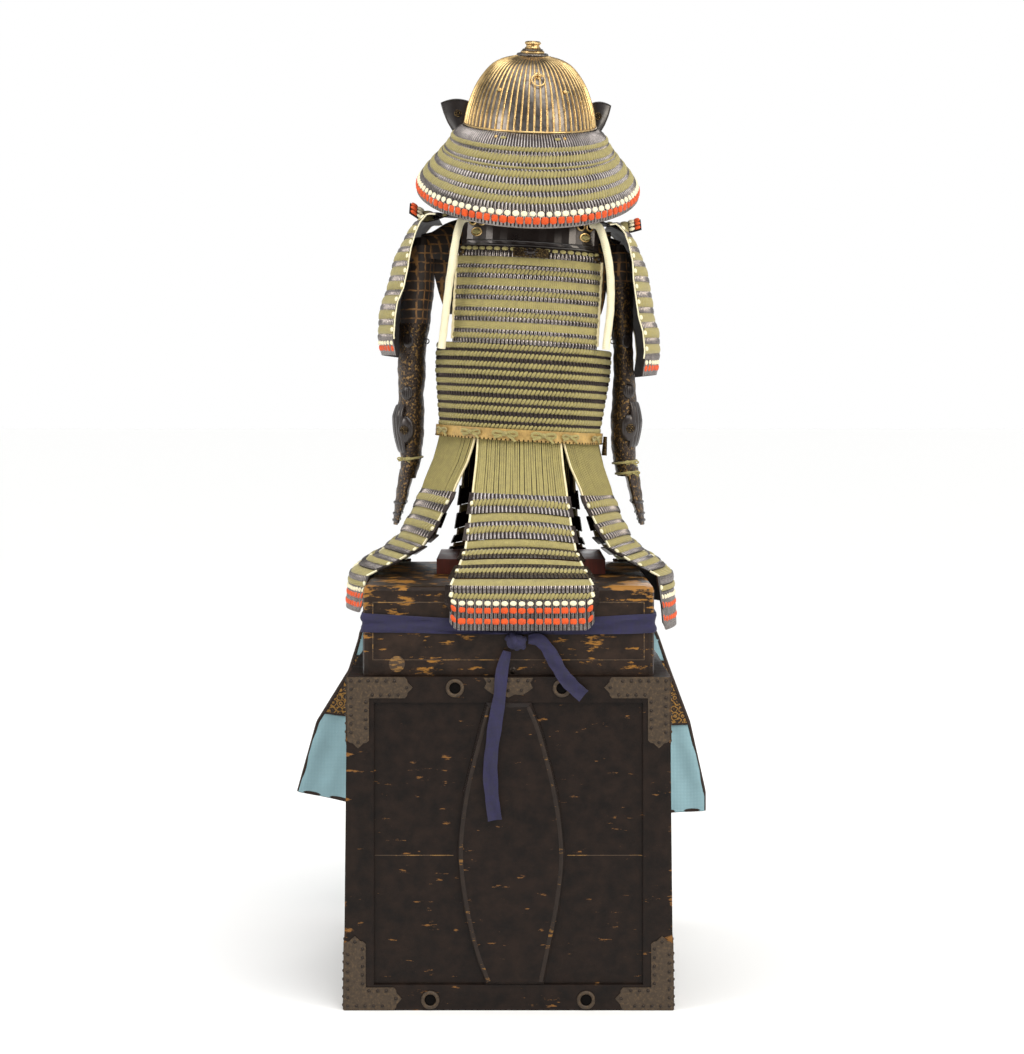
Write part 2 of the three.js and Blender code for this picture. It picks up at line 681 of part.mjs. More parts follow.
function buildCords() {
  const section = new THREE.Shape();
  section.absarc(0, 0, CORD_RADIUS, 0, 2 * Math.PI);
  for (const [name, route] of [
    ["cord_left", CORD_LEFT],
    ["cord_right", CORD_RIGHT],
  ]) {
    const path = new THREE.CatmullRomCurve3(route.map(([x, y, z]) => point(x, y, z)));
    const tube = new THREE.ExtrudeGeometry(section, { extrudePath: path, steps: 13, curveSegments: 5 });
    place(name, tube, "cream");
  }
}

// Skirt
function tassetPoint(panel, across, row) {
  const waist = fromTorso(bodyPoint(DO.bottom, mix(panel.from, panel.to, across)).setZ(DO.bottom - SKIRT_GAP));
  const hemX = mix(panel.x0, panel.x1, across);
  const hemY = mix(panel.y0, panel.y1, across);
  const out = point(panel.y1 - panel.y0, panel.x0 - panel.x1, 0).normalize();
  const run = read(SKIRT, "row", row, "run");
  const bow = 4 * across * (1 - across) * panel.bow * run;
  const level = read(SKIRT, "row", row, "z");
  const fade = Math.max(0, 1 - row / 5);
  const last = Math.max(0, row - 5) * (panel.hem - SKIRT[SKIRT.length - 1].z);
  const droop = 7 * Math.sin(Math.PI * Math.min(row / 5, 1)) * (2 * across - 1) ** 2;
  return point(
    mix(waist.x, hemX, run) + out.x * bow,
    mix(waist.y, hemY, run) + out.y * bow,
    level + (waist.z - SKIRT[0].z) * fade + last - (row > 1 ? droop : 0),
  );
}

function buildTasset(panel) {
  const grid = (rows, columns) => rows.map((row) => steps(columns).map((t) => tassetPoint(panel, t, row)));
  const lacing = sheet(grid([0, 0.16, 0.55, 0.99], 2 * panel.cords), {
    thick: CLOTH - 0.5,
    raise: (i, j) => (j % 2 ? 2 : 0.2),
    plainColumns: 7,
  });
  place("tasset_" + panel.name + "_lacing", lacing, "lacing");
  const rows = bandRows(TASSET_BANDS);
  const lames = sheet(
    grid(rows.map(({ at }) => mix(1, 6, at)), panel.name === "rear_centre" ? 8 : 5),
    { thick: LACED, raise: (i) => rows[i].raise, plainRows: SKIRT_LAMES + 1 },
  );
  place("tasset_" + panel.name, lames, "lacing");
}

// Helmet
const helmetMatrix = new THREE.Matrix4()
  .makeTranslation(HELMET.x, HELMET.y, HELMET.z)
  .multiply(new THREE.Matrix4().makeRotationX(radians(HELMET.tip)))
  .multiply(new THREE.Matrix4().makeRotationY(radians(HELMET.roll)));
const fromHelmet = (p) => p.clone().applyMatrix4(helmetMatrix);

function ringPoint(halfX, halfY, angle, z) {
  return point(halfX * Math.sin(angle), -halfY * Math.cos(angle), z);
}

// Rings of a dome from its rim up, every second meridian raised by the rib.
function bowlGrid(rows, columns, wallIn, rib) {
  const angles = steps(columns).slice(0, -1).map((t) => 2 * Math.PI * t);
  return rows.map(({ rise, radius }) =>
    angles.map((angle, j) => {
      const r = radius - wallIn + (j % 2 ? rib : 0);
      return ringPoint(r, r * HELMET.long, angle, rise ? rise - wallIn : 0);
    }),
  );
}

// The bowl: outer points raised along every second meridian, over a plain inside.
function buildBowl() {
  const outer = bowlGrid(BOWL, 2 * HELMET.ribs, 0, HELMET.rib);
  const inner = bowlGrid(BOWL.filter((_, i) => i % 2 === 0 || i === BOWL.length - 1), HELMET.ribs / 2, HELMET.wall, 0);
  // Rows run down, as on every other wall.
  const bowl = wall(outer.reverse(), inner.reverse(), true, true);
  place("helmet_bowl", bowl.applyMatrix4(helmetMatrix), "gilt");
}

function buildFinial() {
  const profile = [
    [0, 0],
    [27, 0],
    [27.5, 2],
    [26, 4],
    [20, 5],
    [20.5, 9],
    [18, 11],
    [13, 12],
    [14, 18],
    [12.5, 23],
    [8, 24],
    [7, 21],
    [0, 21],
  ].map(([r, z]) => new THREE.Vector2(r, z));
  const finial = new THREE.LatheGeometry(profile, 14).rotateX(Math.PI / 2);
  const seat = BOWL_TOP + SEAM;
  place("helmet_finial", finial.translate(0, 0, seat).applyMatrix4(helmetMatrix), "gilt");
}

// A point on the inside of the neck guard: how far down it, and the angle from behind.
function guardPoint(drop, degrees, out = 0) {
  const angle = radians(degrees);
  const run = read(GUARD_ROWS, "drop", drop, "run");
  const half = mix(GUARD.halfTop, GUARD.halfHem, run) + out;
  const rear = mix(GUARD.rearTop, GUARD.rearHem, run) + out;
  const hem = GUARD_DROP.rear + (GUARD_DROP.side - GUARD_DROP.rear) * (1 - Math.cos(angle));
  const z = mix(GUARD_DROP.start, hem, drop);
  return ringPoint(half, rear, angle, z).add(point(0, GUARD.back * run, 0));
}

function buildNeckGuard() {
  const fan = steps(22).map((t) => mix(-GUARD.span, GUARD.span, t));
  const bandGrid = [0, 0.03, 0.06, NECK_BAND_END].map((drop) => fan.map((degrees) => guardPoint(drop, degrees)));
  const band = sheet(bandGrid, { thick: 2.5, raise: (i) => (i === 1 ? 1.5 : 0), plainRows: 2 });
  place("helmet_neck_band", band.applyMatrix4(helmetMatrix), "iron");
  const rows = bandRows(2 * GUARD.lames);
  const guardRows = rows.map(({ at }) => mix(NECK_BAND_END + 0.004, 1, at));
  const grid = guardRows.map((drop) => fan.map((degrees) => guardPoint(drop, degrees)));
  const guard = sheet(grid, { thick: LACED, raise: (i) => rows[i].raise, plainRows: 6 });
  place("helmet_neck_guard", guard.applyMatrix4(helmetMatrix), "lacing");
}

// Turned-back wing: outline as outward reach and height, on a slightly hollow surface.
const WING = [
  { up: -6, from: 3, to: 6 },
  { up: 10, from: 3, to: 13 },
  { up: 30, from: 4, to: 26 },
  { up: 50, from: 7, to: 42 },
  { up: 60, from: 11, to: 47 },
  { up: 66, from: 14, to: 36 },
];
function buildWings() {
  for (const { name, side } of [
    { name: "helmet_wing_left", side: -1 },
    { name: "helmet_wing_right", side: 1 },
  ]) {
    const grid = [...WING].reverse().map(({ up, from, to }) =>
      steps(4).map((t) => {
        const reach = mix(from, to, t);
        return point(side * (98 + reach), 66.8 - 0.35 * reach + 0.006 * reach * reach, up - 6);
      }),
    );
    place(name, sheet(grid, { thick: 2.5, side }).applyMatrix4(helmetMatrix), "lacquer");
  }
}

function buildPeak() {
  const fan = steps(12).map((t) => mix(127, 233, t));
  const rows = [
    { reach: 0, z: 1 },
    { reach: 0.55, z: -8 },
    { reach: 1, z: -16 },
  ];
  const grid = rows.map(({ reach, z }) =>
    fan.map((degrees) => {
      const middle = Math.sin((Math.PI * (degrees - 127)) / 106);
      const out = SEAM + reach * (6 + 34 * middle);
      return ringPoint(GUARD.halfTop + out, GUARD.rearTop + out, radians(degrees), z);
    }),
  );
  place("helmet_peak", sheet(grid, { thick: 2.5 }).applyMatrix4(helmetMatrix), "lacquer");
}

// Rear ring in its eye on the bowl: the frame's y points out of the bowl and its z up along it.
const RING = { rise: 95, angle: 6.5, slope: 40, radius: 11, wire: 1.3, eye: 1.9, eyeWire: 1.2, rest: 4 };
function ringFrame() {
  const radius = read(BOWL, "rise", RING.rise, "radius") + HELMET.rib;
  const angle = radians(RING.angle);
  const seat = ringPoint(radius, radius * HELMET.long, angle, RING.rise);
  const turn = new THREE.Matrix4()
    .makeRotationZ(angle)
    .multiply(new THREE.Matrix4().makeRotationX(-radians(RING.slope)));
  return helmetMatrix.clone().multiply(new THREE.Matrix4().makeTranslation(seat.x, seat.y, seat.z)).multiply(turn);
}

function buildRing() {
  const frame = ringFrame();
  const height = RING.eye + 2 * RING.eyeWire + 0.9;
  const foot = new THREE.CylinderGeometry(4.2, 5.2, 1.6, 12).translate(0, -1.1 - SEAM, 0);
  const loop = new THREE.TorusGeometry(RING.eye + RING.eyeWire, RING.eyeWire, 6, 12).rotateY(Math.PI / 2);
  const eye = solid(foot).add(solid(loop.translate(0, -height, 0)));
  place("helmet_ring_eye", geometryOf(eye).applyMatrix4(frame), "gilt");
  const ring = new THREE.TorusGeometry(RING.radius, RING.wire, 6, 18).rotateX(Math.PI / 2);
  ring.translate(0, 0, -RING.radius).rotateX(radians(RING.rest));
  place("helmet_ring", ring.translate(0, -height, 0).applyMatrix4(frame), "gilt");
}

// Shoulder guards and flaps
function buildShoulderGuard(name, side, profile) {
  const lengths = shares(profile.map(({ x, z }) => point(x, 0, z)));
  const table = profile.map((row, i) => ({ ...row, at: lengths[i] }));
  const rows = bandRows(SODE.bands);
  const grid = rows.map(({ at }) =>
    steps(6).map((t) => {
      const v = 2 * t - 1;
      const x = read(table, "at", at, "x") - SODE.curl * v * v * Math.min(1, 0.1 + 2 * at);
      return point(side * x, SODE.middle + (v * SODE.depth) / 2, read(table, "at", at, "z") - 3 * v * v);
    }),
  );
  place(name, sheet(grid, { thick: LACED, raise: (i) => rows[i].raise, side, plainRows: 7 }), "lacing");
}

function buildShoulderFlap(name, side, profile) {
  const grid = profile.map(({ x, z }) =>
    steps(4).map((t) => point(x, mix(KOHIRE.rear, KOHIRE.front, t), z - KOHIRE.droop * (2 * t - 1) ** 2)),
  );
  const raise = (i) => (i % 2 ? 1.5 : 0.3);
  place(name, sheet(grid, { thick: LACED, raise, side }), "lacing");
}

// Sleeves
function sleevePoint(table, z, angle, out = 0) {
  const across = read(table, "z", z, "across") + out;
  const along = read(table, "z", z, "along") + out;
  const x = read(table, "z", z, "x");
  const y = read(table, "z", z, "y");
  return point(x + across * Math.sin(angle), y - along * Math.cos(angle), z);
}

function buildSleeve(name, table, arm) {
  const turns = steps(SLEEVE_SIDES).slice(0, -1).map((t) => 2 * Math.PI * t);
  const grid = table.map(({ z }) => turns.map((angle) => sleevePoint(table, z, angle)));
  place(name + "_sleeve", sheet(grid, { thick: CLOTH, wrap: true }), "mail");

  const rows = steps(6).map((t) => mix(arm.plateTop, arm.plateEnd, t));
  const fan = steps(10).map((t) => radians(mix(arm.side > 0 ? 20 : -160, arm.side > 0 ? 160 : -20, t)));
  const swell = (i) => 3.5 * Math.sin((Math.PI * i) / 6);
  const plateGrid = rows.map((z) => fan.map((angle) => sleevePoint(table, z, angle, CLOTH + 1)));
  const splints = (i, j) => swell(i) + (j % 2 ? 1.2 : 0);
  place(name + "_forearm_plate", sheet(plateGrid, { thick: 2, raise: splints }), "lacquer");

  const cuff = arm.cuff - 6;
  const guardRows = steps(6).map((t) => ({ t, z: mix(arm.cuff + 14, arm.handEnd, t) }));
  const near = { x: read(table, "z", cuff, "x"), y: read(table, "z", cuff, "y") };
  const over = read(table, "z", cuff, "across") + CLOTH + 0.9;
  const hand = guardRows.map(({ t, z }) =>
    steps(6).map((u) => {
      const v = 2 * u - 1;
      const reach = 30 + 9 * Math.sin(Math.PI * Math.min(1, 1.3 * t));
      const drift = arm.handShift * Math.max(0, t - 0.15) ** 1.2;
      const hollow = 9 * v * v * (1 + 0.3 * t);
      const slack = read(table, "z", Math.min(z, table[0].z), "across") + CLOTH + 0.9 - over;
      const x = Math.abs(near.x) + over + Math.max(0, slack) + drift - hollow + HAND_SEAT;
      return point(arm.side * x, near.y + reach * v + 8 * t, z);
    }),
  );
  place(name + "_hand_guard", sheet(hand, { thick: 2, side: arm.side }), "lacquer");
}

// Thigh guards
function thighPoint(sideName, side, across, down, out = 0) {
  const hem = sideName === "left" ? THIGH_ROWS[THIGH_ROWS.length - 1].z : THIGH.rightHem;
  const outerZ = mix(THIGH_ROWS[0].z - SEAM, hem, down);
  const z = mix(outerZ, mix(THIGH_ROWS[0].z - SEAM, THIGH.innerHem, down), Math.min(1, 1.6 * across));
  const edge = read(THIGH_ROWS, "z", outerZ, sideName);
  const fold = THIGH.foldDepth * down * (1 - Math.cos(2 * Math.PI * THIGH.folds * across)) * 0.5;
  const y = read(THIGH_ROWS, "z", z, "y") + fold + out;
  return point(side * mix(edge, THIGH.inner, across), y, z);
}

function buildThighGuard(name, side) {
  const columns = steps(THIGH_COLUMNS);
  const grid = THIGH_DOWN.map((down) => columns.map((t) => thighPoint(name, side, t, down)));
  place("thigh_guard_" + name, sheet(grid, { thick: THIGH.wall, side }), "linen");

  // The brocade turned back from the outer edge lies on the lining, on the side of the box.
  const flap = THIGH_DOWN.slice(FLAP.firstRow, FLAP.lastRow + 1).map((down) =>
    columns.slice(0, FLAP.columns + 1).map((t) => thighPoint(name, side, t, down, -SEAM)),
  );
  place("thigh_flap_" + name, sheet(flap, { thick: 1.6, side: -side }), "brocade");
}

function buildSash() {
  const halfX = LID.width / 2 + SASH.gap;
  const halfY = LID.depth / 2 + SASH.gap;
  const ring = (z) => {
    const outline = roundedOutline(halfX, halfY, 9.4, z, 2);
    const rear = point(12, -halfY, z - SASH.sag);
    return [rear, ...outline];
  };
  const rows = [SASH.bottom + SASH.height, SASH.bottom].map(ring);
  place("sash_band", sheet(rows, { thick: SASH.wall, wrap: true }), "sash");

  const knot = new THREE.SphereGeometry(1, 12, 8).scale(KNOT.across, KNOT.deep, KNOT.tall);
  place("sash_knot", knot.translate(KNOT.x, KNOT.y, KNOT.z), "sash");
  for (const [name, path] of [
    ["sash_tail_left", TAIL_LEFT],
    ["sash_tail_right", TAIL_RIGHT],
  ]) {
    const grid = path.map((at, i) => {
      const before = path[Math.max(i - 1, 0)];
      const after = path[Math.min(i + 1, path.length - 1)];
      const along = point(after.x - before.x, 0, after.z - before.z).normalize();
      const across = point(-along.z, 0, along.x).multiplyScalar(TAIL_WIDTH / 2);
      return steps(2).map((t) => point(at.x, at.y, at.z).addScaledVector(across, 2 * t - 1));
    });
    place(name, sheet(grid, { thick: 1.8, side: 1 }), "sash");
  }
}

buildBox();
buildBackBoard();
buildLid();
buildStand();
buildCuirass();
buildStraps();
buildCords();
TASSETS.forEach(buildTasset);
buildBowl();
buildFinial();
buildNeckGuard();
buildWings();
buildPeak();
buildRing();
buildShoulderGuard("shoulder_guard_left", -1, SODE_LEFT);
buildShoulderGuard("shoulder_guard_right", 1, SODE_RIGHT);
buildShoulderFlap("shoulder_flap_left", -1, KOHIRE_LEFT);
buildShoulderFlap("shoulder_flap_right", 1, KOHIRE_RIGHT);
buildSleeve("arm_left", SLEEVE_LEFT, ARM_LEFT);
buildSleeve("arm_right", SLEEVE_RIGHT, ARM_RIGHT);
buildThighGuard("left", -1);
buildThighGuard("right", 1);
buildSash();

export default armour;
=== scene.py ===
"""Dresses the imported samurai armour: laced plates, ribbed helmet, cloth, cords and the worn storage box.

Sizes are millimetres and +Z is up, in the frame of the solids; the meshes are made in metres.
The armour's back looks to -Y. The tables and routes repeat those of the part's source.
"""

from __future__ import annotations

import logging
import math
from dataclasses import dataclass, field
from enum import Enum
from typing import Callable, ClassVar, Sequence

import bpy
import numpy as np
from mathutils import Matrix, Vector


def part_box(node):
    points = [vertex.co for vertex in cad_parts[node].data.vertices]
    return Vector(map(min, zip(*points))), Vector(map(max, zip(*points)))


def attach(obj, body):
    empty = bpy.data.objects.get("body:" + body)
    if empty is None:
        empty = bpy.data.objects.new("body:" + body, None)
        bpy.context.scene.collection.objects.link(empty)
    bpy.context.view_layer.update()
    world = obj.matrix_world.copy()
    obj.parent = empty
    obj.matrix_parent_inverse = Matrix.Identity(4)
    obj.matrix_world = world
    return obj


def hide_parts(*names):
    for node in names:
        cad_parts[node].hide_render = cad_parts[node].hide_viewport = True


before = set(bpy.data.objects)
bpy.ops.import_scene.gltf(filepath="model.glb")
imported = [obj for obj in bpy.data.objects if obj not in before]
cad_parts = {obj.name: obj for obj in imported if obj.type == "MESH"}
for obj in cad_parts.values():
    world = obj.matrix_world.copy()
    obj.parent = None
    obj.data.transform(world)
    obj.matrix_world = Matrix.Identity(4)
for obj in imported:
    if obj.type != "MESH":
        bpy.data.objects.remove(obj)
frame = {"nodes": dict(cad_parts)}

LOG = logging.getLogger("armour")
MM = 0.001
IMAGE_WIDTH, IMAGE_HEIGHT = 1024, 1054
SEED = 7

Points = np.ndarray
Table = Sequence[Sequence[float]]

# Right, up and off of what looks to the rear.
RIGHT, UP, OFF = np.array([1.0, 0.0, 0.0]), np.array([0.0, 0.0, 1.0]), np.array([0.0, -1.0, 0.0])


# Finishes.


def linear(code: str) -> tuple[float, float, float, float]:
    """Turns an sRGB hex colour to linear light.

    Args:
        code: Six hex digits after a hash.

    Returns:
        Linear red, green and blue with full alpha.
    """
    parts = [int(code[i : i + 2], 16) / 255 for i in (1, 3, 5)]
    red, green, blue = (p / 12.92 if p <= 0.04045 else ((p + 0.055) / 1.055) ** 2.4 for p in parts)
    return red, green, blue, 1.0


class Pattern(Enum):
    """What breaks up a finish, apart from its slow change of tone."""

    BRAID = "slanted strands of a silk braid"
    WEAVE = "crossed threads"
    HIDE = "pebbles of leather"
    FORGED = "soft dents of hammered plate"
    GLAZE = "the faint orange peel of lacquer"
    WORN = "lacquer rubbed through to ochre ground"
    MAIL = "small rings with gold flecks"
    FLOWERS = "gold blossoms on a dark ground"
    FRET = "woven squares between gold lines"
    GRAIN = "long wood grain"
    DAMASK = "fine engraved lattice"


@dataclass(frozen=True)
class Finish:
    """A surface finish, named for what the real one is.

    Args:
        name: Common name of the material and how it was made.
        slot: The record's material slot; not used.
        colour: Main colour, sRGB hex.
        accent: Second colour, sRGB hex.
        pattern: What breaks it up.
        scale: Real size of the pattern's unit in millimetres.
        roughness: Roughness of the shader.
        metallic: 1 for bare metal.
        relief: Depth of the pattern in millimetres.
        tone: Size of the slow change of tone in millimetres.
        contrast: Strength of that change.
        cover: Share of the surface that the accent takes.
        coat: Weight of a clear coat.
        sheen: Weight of the sheen of fibres.
        ior: Index of refraction.
        specular: Strength of the surface gloss, less on dry old lacquer.
        wear_from: Height in millimetres from which wear grows, or None.
        wear_to: Height at which wear is full.
        edges: Distances from the middle in x and y past which upright edges are rubbed.
    """

    name: str
    slot: str
    colour: str
    accent: str
    pattern: Pattern
    scale: float
    roughness: float
    metallic: float = 0.0
    relief: float = 0.2
    tone: float = 40.0
    contrast: float = 0.34
    cover: float = 0.4
    coat: float = 0.0
    sheen: float = 0.0
    ior: float = 1.5
    specular: float = 0.5
    wear_from: float | None = None
    wear_to: float = 0.0
    edges: tuple[float, float] | None = None


# Silk braid: soft satin threads, with the darker accent laid in the creases of the relief as painted shade,
# so the crowns read lighter.
OLIVE_SILK = Finish(
    "olive_silk_braid", "laced_lames", "#aca063", "#75693a", Pattern.BRAID, 1.6, 0.72,
    relief=0.3, tone=9, contrast=0.2, sheen=0.3
)
CREAM_SILK = Finish(
    "cream_silk_braid", "cream_cord", "#fff5d4", "#e6d5a4", Pattern.BRAID, 1.8, 0.7,
    relief=0.25, tone=12, contrast=0.12, sheen=0.3
)
ORANGE_SILK = Finish(
    "orange_silk_knots", "laced_lames", "#e65511", "#c44209", Pattern.BRAID, 1.4, 0.75,
    relief=0.3, tone=6, sheen=0.1
)
# Edging leather, smoke-tanned and painted cream.
CREAM_HIDE = Finish(
    "cream_edging_leather", "cream_cord", "#f4e6b8", "#d3ba84", Pattern.HIDE, 1.5, 0.65,
    relief=0.1, tone=10, contrast=0.15
)
TAN_HIDE = Finish(
    "tan_strap_leather", "tan_leather", "#bb9a58", "#8a6430", Pattern.HIDE, 1.6, 0.5,
    relief=0.15, tone=14
)
# Urushi lacquer over scales and plates: nearly black, a tight clear gloss with a brown cast.
SCALE_LACQUER = Finish(
    "lacquered_scale_heads", "laced_lames", "#918a86", "#4a4340", Pattern.GLAZE, 2.0, 0.22,
    metallic=0.9, relief=0.05, tone=14
)
BLACK_LACQUER = Finish(
    "black_brown_lacquer", "lacquered_plate", "#1c1512", "#2b1f18", Pattern.GLAZE, 2.5, 0.3,
    relief=0.06, tone=30, coat=0.5
)
PLATE_LACQUER = Finish(
    "smoked_plate_lacquer", "lacquered_plate", "#2c2421", "#1e1713", Pattern.GLAZE, 2.5, 0.3,
    metallic=0.3, relief=0.06, tone=24, coat=0.3
)
# A darker copy of the scale heads: painted shade for the lower wrap, whose rows catch fewer highlights, also
# used on the tassets' bare plate ends.
SHADED_SCALES = Finish(
    "scale_heads_in_painted_shade", "laced_lames", "#3d3430", "#1d1714", Pattern.GLAZE, 2.0, 0.24,
    metallic=0.6, relief=0.05, tone=10
)
# Dull old lacquer on the inner sides of plates and in the gaps between scales. It also colours the dark sheet
# of painted shade behind the tassets' long lacing.
WALL_LACQUER = Finish(
    "dull_lacquered_leather", "lacquered_plate", "#1d1511", "#2c2019", Pattern.HIDE, 3.0, 0.62,
    relief=0.15, tone=22, specular=0.22
)
# Forged iron plates between gilt ribs.
GREY_IRON = Finish(
    "forged_grey_iron", "iron", "#77716b", "#37302b", Pattern.FORGED, 6.0, 0.3,
    metallic=0.9, relief=0.12, tone=16
)
GILT = Finish(
    "fire_gilt_copper", "gilt_metal", "#d6b780", "#956f3a", Pattern.FORGED, 7.0, 0.27,
    metallic=1.0, relief=0.03, tone=16, contrast=0.2
)
DULL_GILT = Finish(
    "dull_engraved_gilt", "gilt_metal", "#6e5a38", "#2a2118", Pattern.DAMASK, 3.4, 0.45,
    metallic=0.85, relief=0.35, tone=8
)
# Mail of small dark rings over brown cloth, flecked with gold thread.
MAIL_CLOTH = Finish(
    "dark_mail_on_brocade", "sleeve_mail", "#3b3028", "#84663a", Pattern.MAIL, 3.4, 0.34,
    metallic=0.55, relief=1.9, tone=3, contrast=0.85, cover=0.16
)
SLEEVE_BROCADE = Finish(
    "brown_gold_brocade", "brocade", "#2b2019", "#8a6233", Pattern.FRET, 15.0, 0.6,
    relief=0.3, tone=26, contrast=0.5, sheen=0.1
)
HEM_BROCADE = Finish(
    "dark_gold_brocade", "brocade", "#2b1d12", "#a87b33", Pattern.FLOWERS, 12.0, 0.6,
    relief=0.3, tone=16, cover=0.22, sheen=0.1
)
LINEN = Finish(
    "light_blue_hemp", "linen", "#a9cdd5", "#86adb6", Pattern.WEAVE, 2.6, 0.85,
    relief=0.3, tone=30, contrast=0.1, sheen=0.2
)
HEM_TAPE = Finish(
    "dark_brown_edging_tape", "linen", "#261a14", "#3a2a20", Pattern.WEAVE, 1.4, 0.8,
    relief=0.2, tone=12
)
SASH_CLOTH = Finish(
    "navy_wool_sash", "sash_cloth", "#2e2b4b", "#1e1c36", Pattern.WEAVE, 2.0, 0.9,
    relief=0.35, tone=9, contrast=0.45, sheen=0.05
)
# Old black lacquer on wood: rubbed through to ochre ground at edges and along scratches.
BOX_LACQUER = Finish(
    "worn_box_lacquer", "box_lacquer", "#1b110b", "#83592a", Pattern.WORN, 15.0, 0.42,
    relief=0.5, tone=22, contrast=0.6, cover=0.088, specular=0.2, edges=(243, 240)
)
LID_LACQUER = Finish(
    "worn_lid_lacquer", "box_lacquer", "#281c14", "#9c6c2c", Pattern.WORN, 17.0, 0.42,
    relief=0.5, tone=22, contrast=0.6, cover=0.215, specular=0.22, wear_from=622, wear_to=720,
    edges=(219, 224)
)
OCHRE_LINE = Finish(
    "ochre_ground_showing", "box_lacquer", "#8a6530", "#33271e", Pattern.WORN, 9.0, 0.6,
    relief=0.2, tone=12, cover=0.5
)
RUSTY_IRON = Finish(
    "worn_wrought_iron", "box_lacquer", "#433628", "#655036", Pattern.FORGED, 4.0, 0.5,
    metallic=0.3, relief=0.5, tone=7, cover=0.45
)
NAIL_IRON = Finish(
    "dark_nail_heads", "box_lacquer", "#2a211a", "#45382b", Pattern.FORGED, 2.0, 0.38,
    metallic=0.5, relief=0.2, tone=5
)
# Lacquer of the bead along the rear board's edges: a little lighter than the box, as a painted highlight
# where the rounded edges catch light, with ochre wear in its accent.
WORN_AND_HIGHLIT_LACQUER = Finish(
    "rubbed_edge_with_painted_highlight", "box_lacquer", "#281f19", "#7d5828", Pattern.WORN, 14.0, 0.5,
    relief=0.2, tone=16, cover=0.2, specular=0.25
)
STAND_PAINT = Finish(
    "red_brown_stand_paint", "stand_wood", "#6d2c1c", "#4c2117", Pattern.GRAIN, 5.0, 0.5,
    relief=0.12, tone=40
)
STAND_WOOD = Finish(
    "plain_dark_stand_wood", "stand_wood", "#3c332d", "#2a2420", Pattern.GRAIN, 5.0, 0.55,
    relief=0.12, tone=40
)
# Near-black pads of painted shade, laid in holes and openings and under knots where the real thing lies in
# shade; the belt's stitch marks use it too.
SHADOW = Finish(
    "near_black_painted_shade", "lacquered_plate", "#0a0807", "#120e0c", Pattern.GLAZE, 3.0, 0.9,
    relief=0.02, tone=20, specular=0.1
)


def add(
    tree: bpy.types.NodeTree, kind: str, inputs: dict[str | int, object] | None = None, **settings: object
) -> bpy.types.Node:
    """Adds a node, sets it and links it.

    Args:
        tree: The node tree.
        kind: The node's type name after ShaderNode.
        inputs: Values or output sockets for its inputs.
        **settings: Properties of the node.

    Returns:
        The new node.
    """
    node = tree.nodes.new("ShaderNode" + kind)
    for key, value in settings.items():
        setattr(node, key, value)
    for key, value in (inputs or {}).items():
        socket = node.inputs[key]
        if isinstance(value, bpy.types.NodeSocket):
            tree.links.new(value, socket)
        else:
            socket.default_value = value
    return node


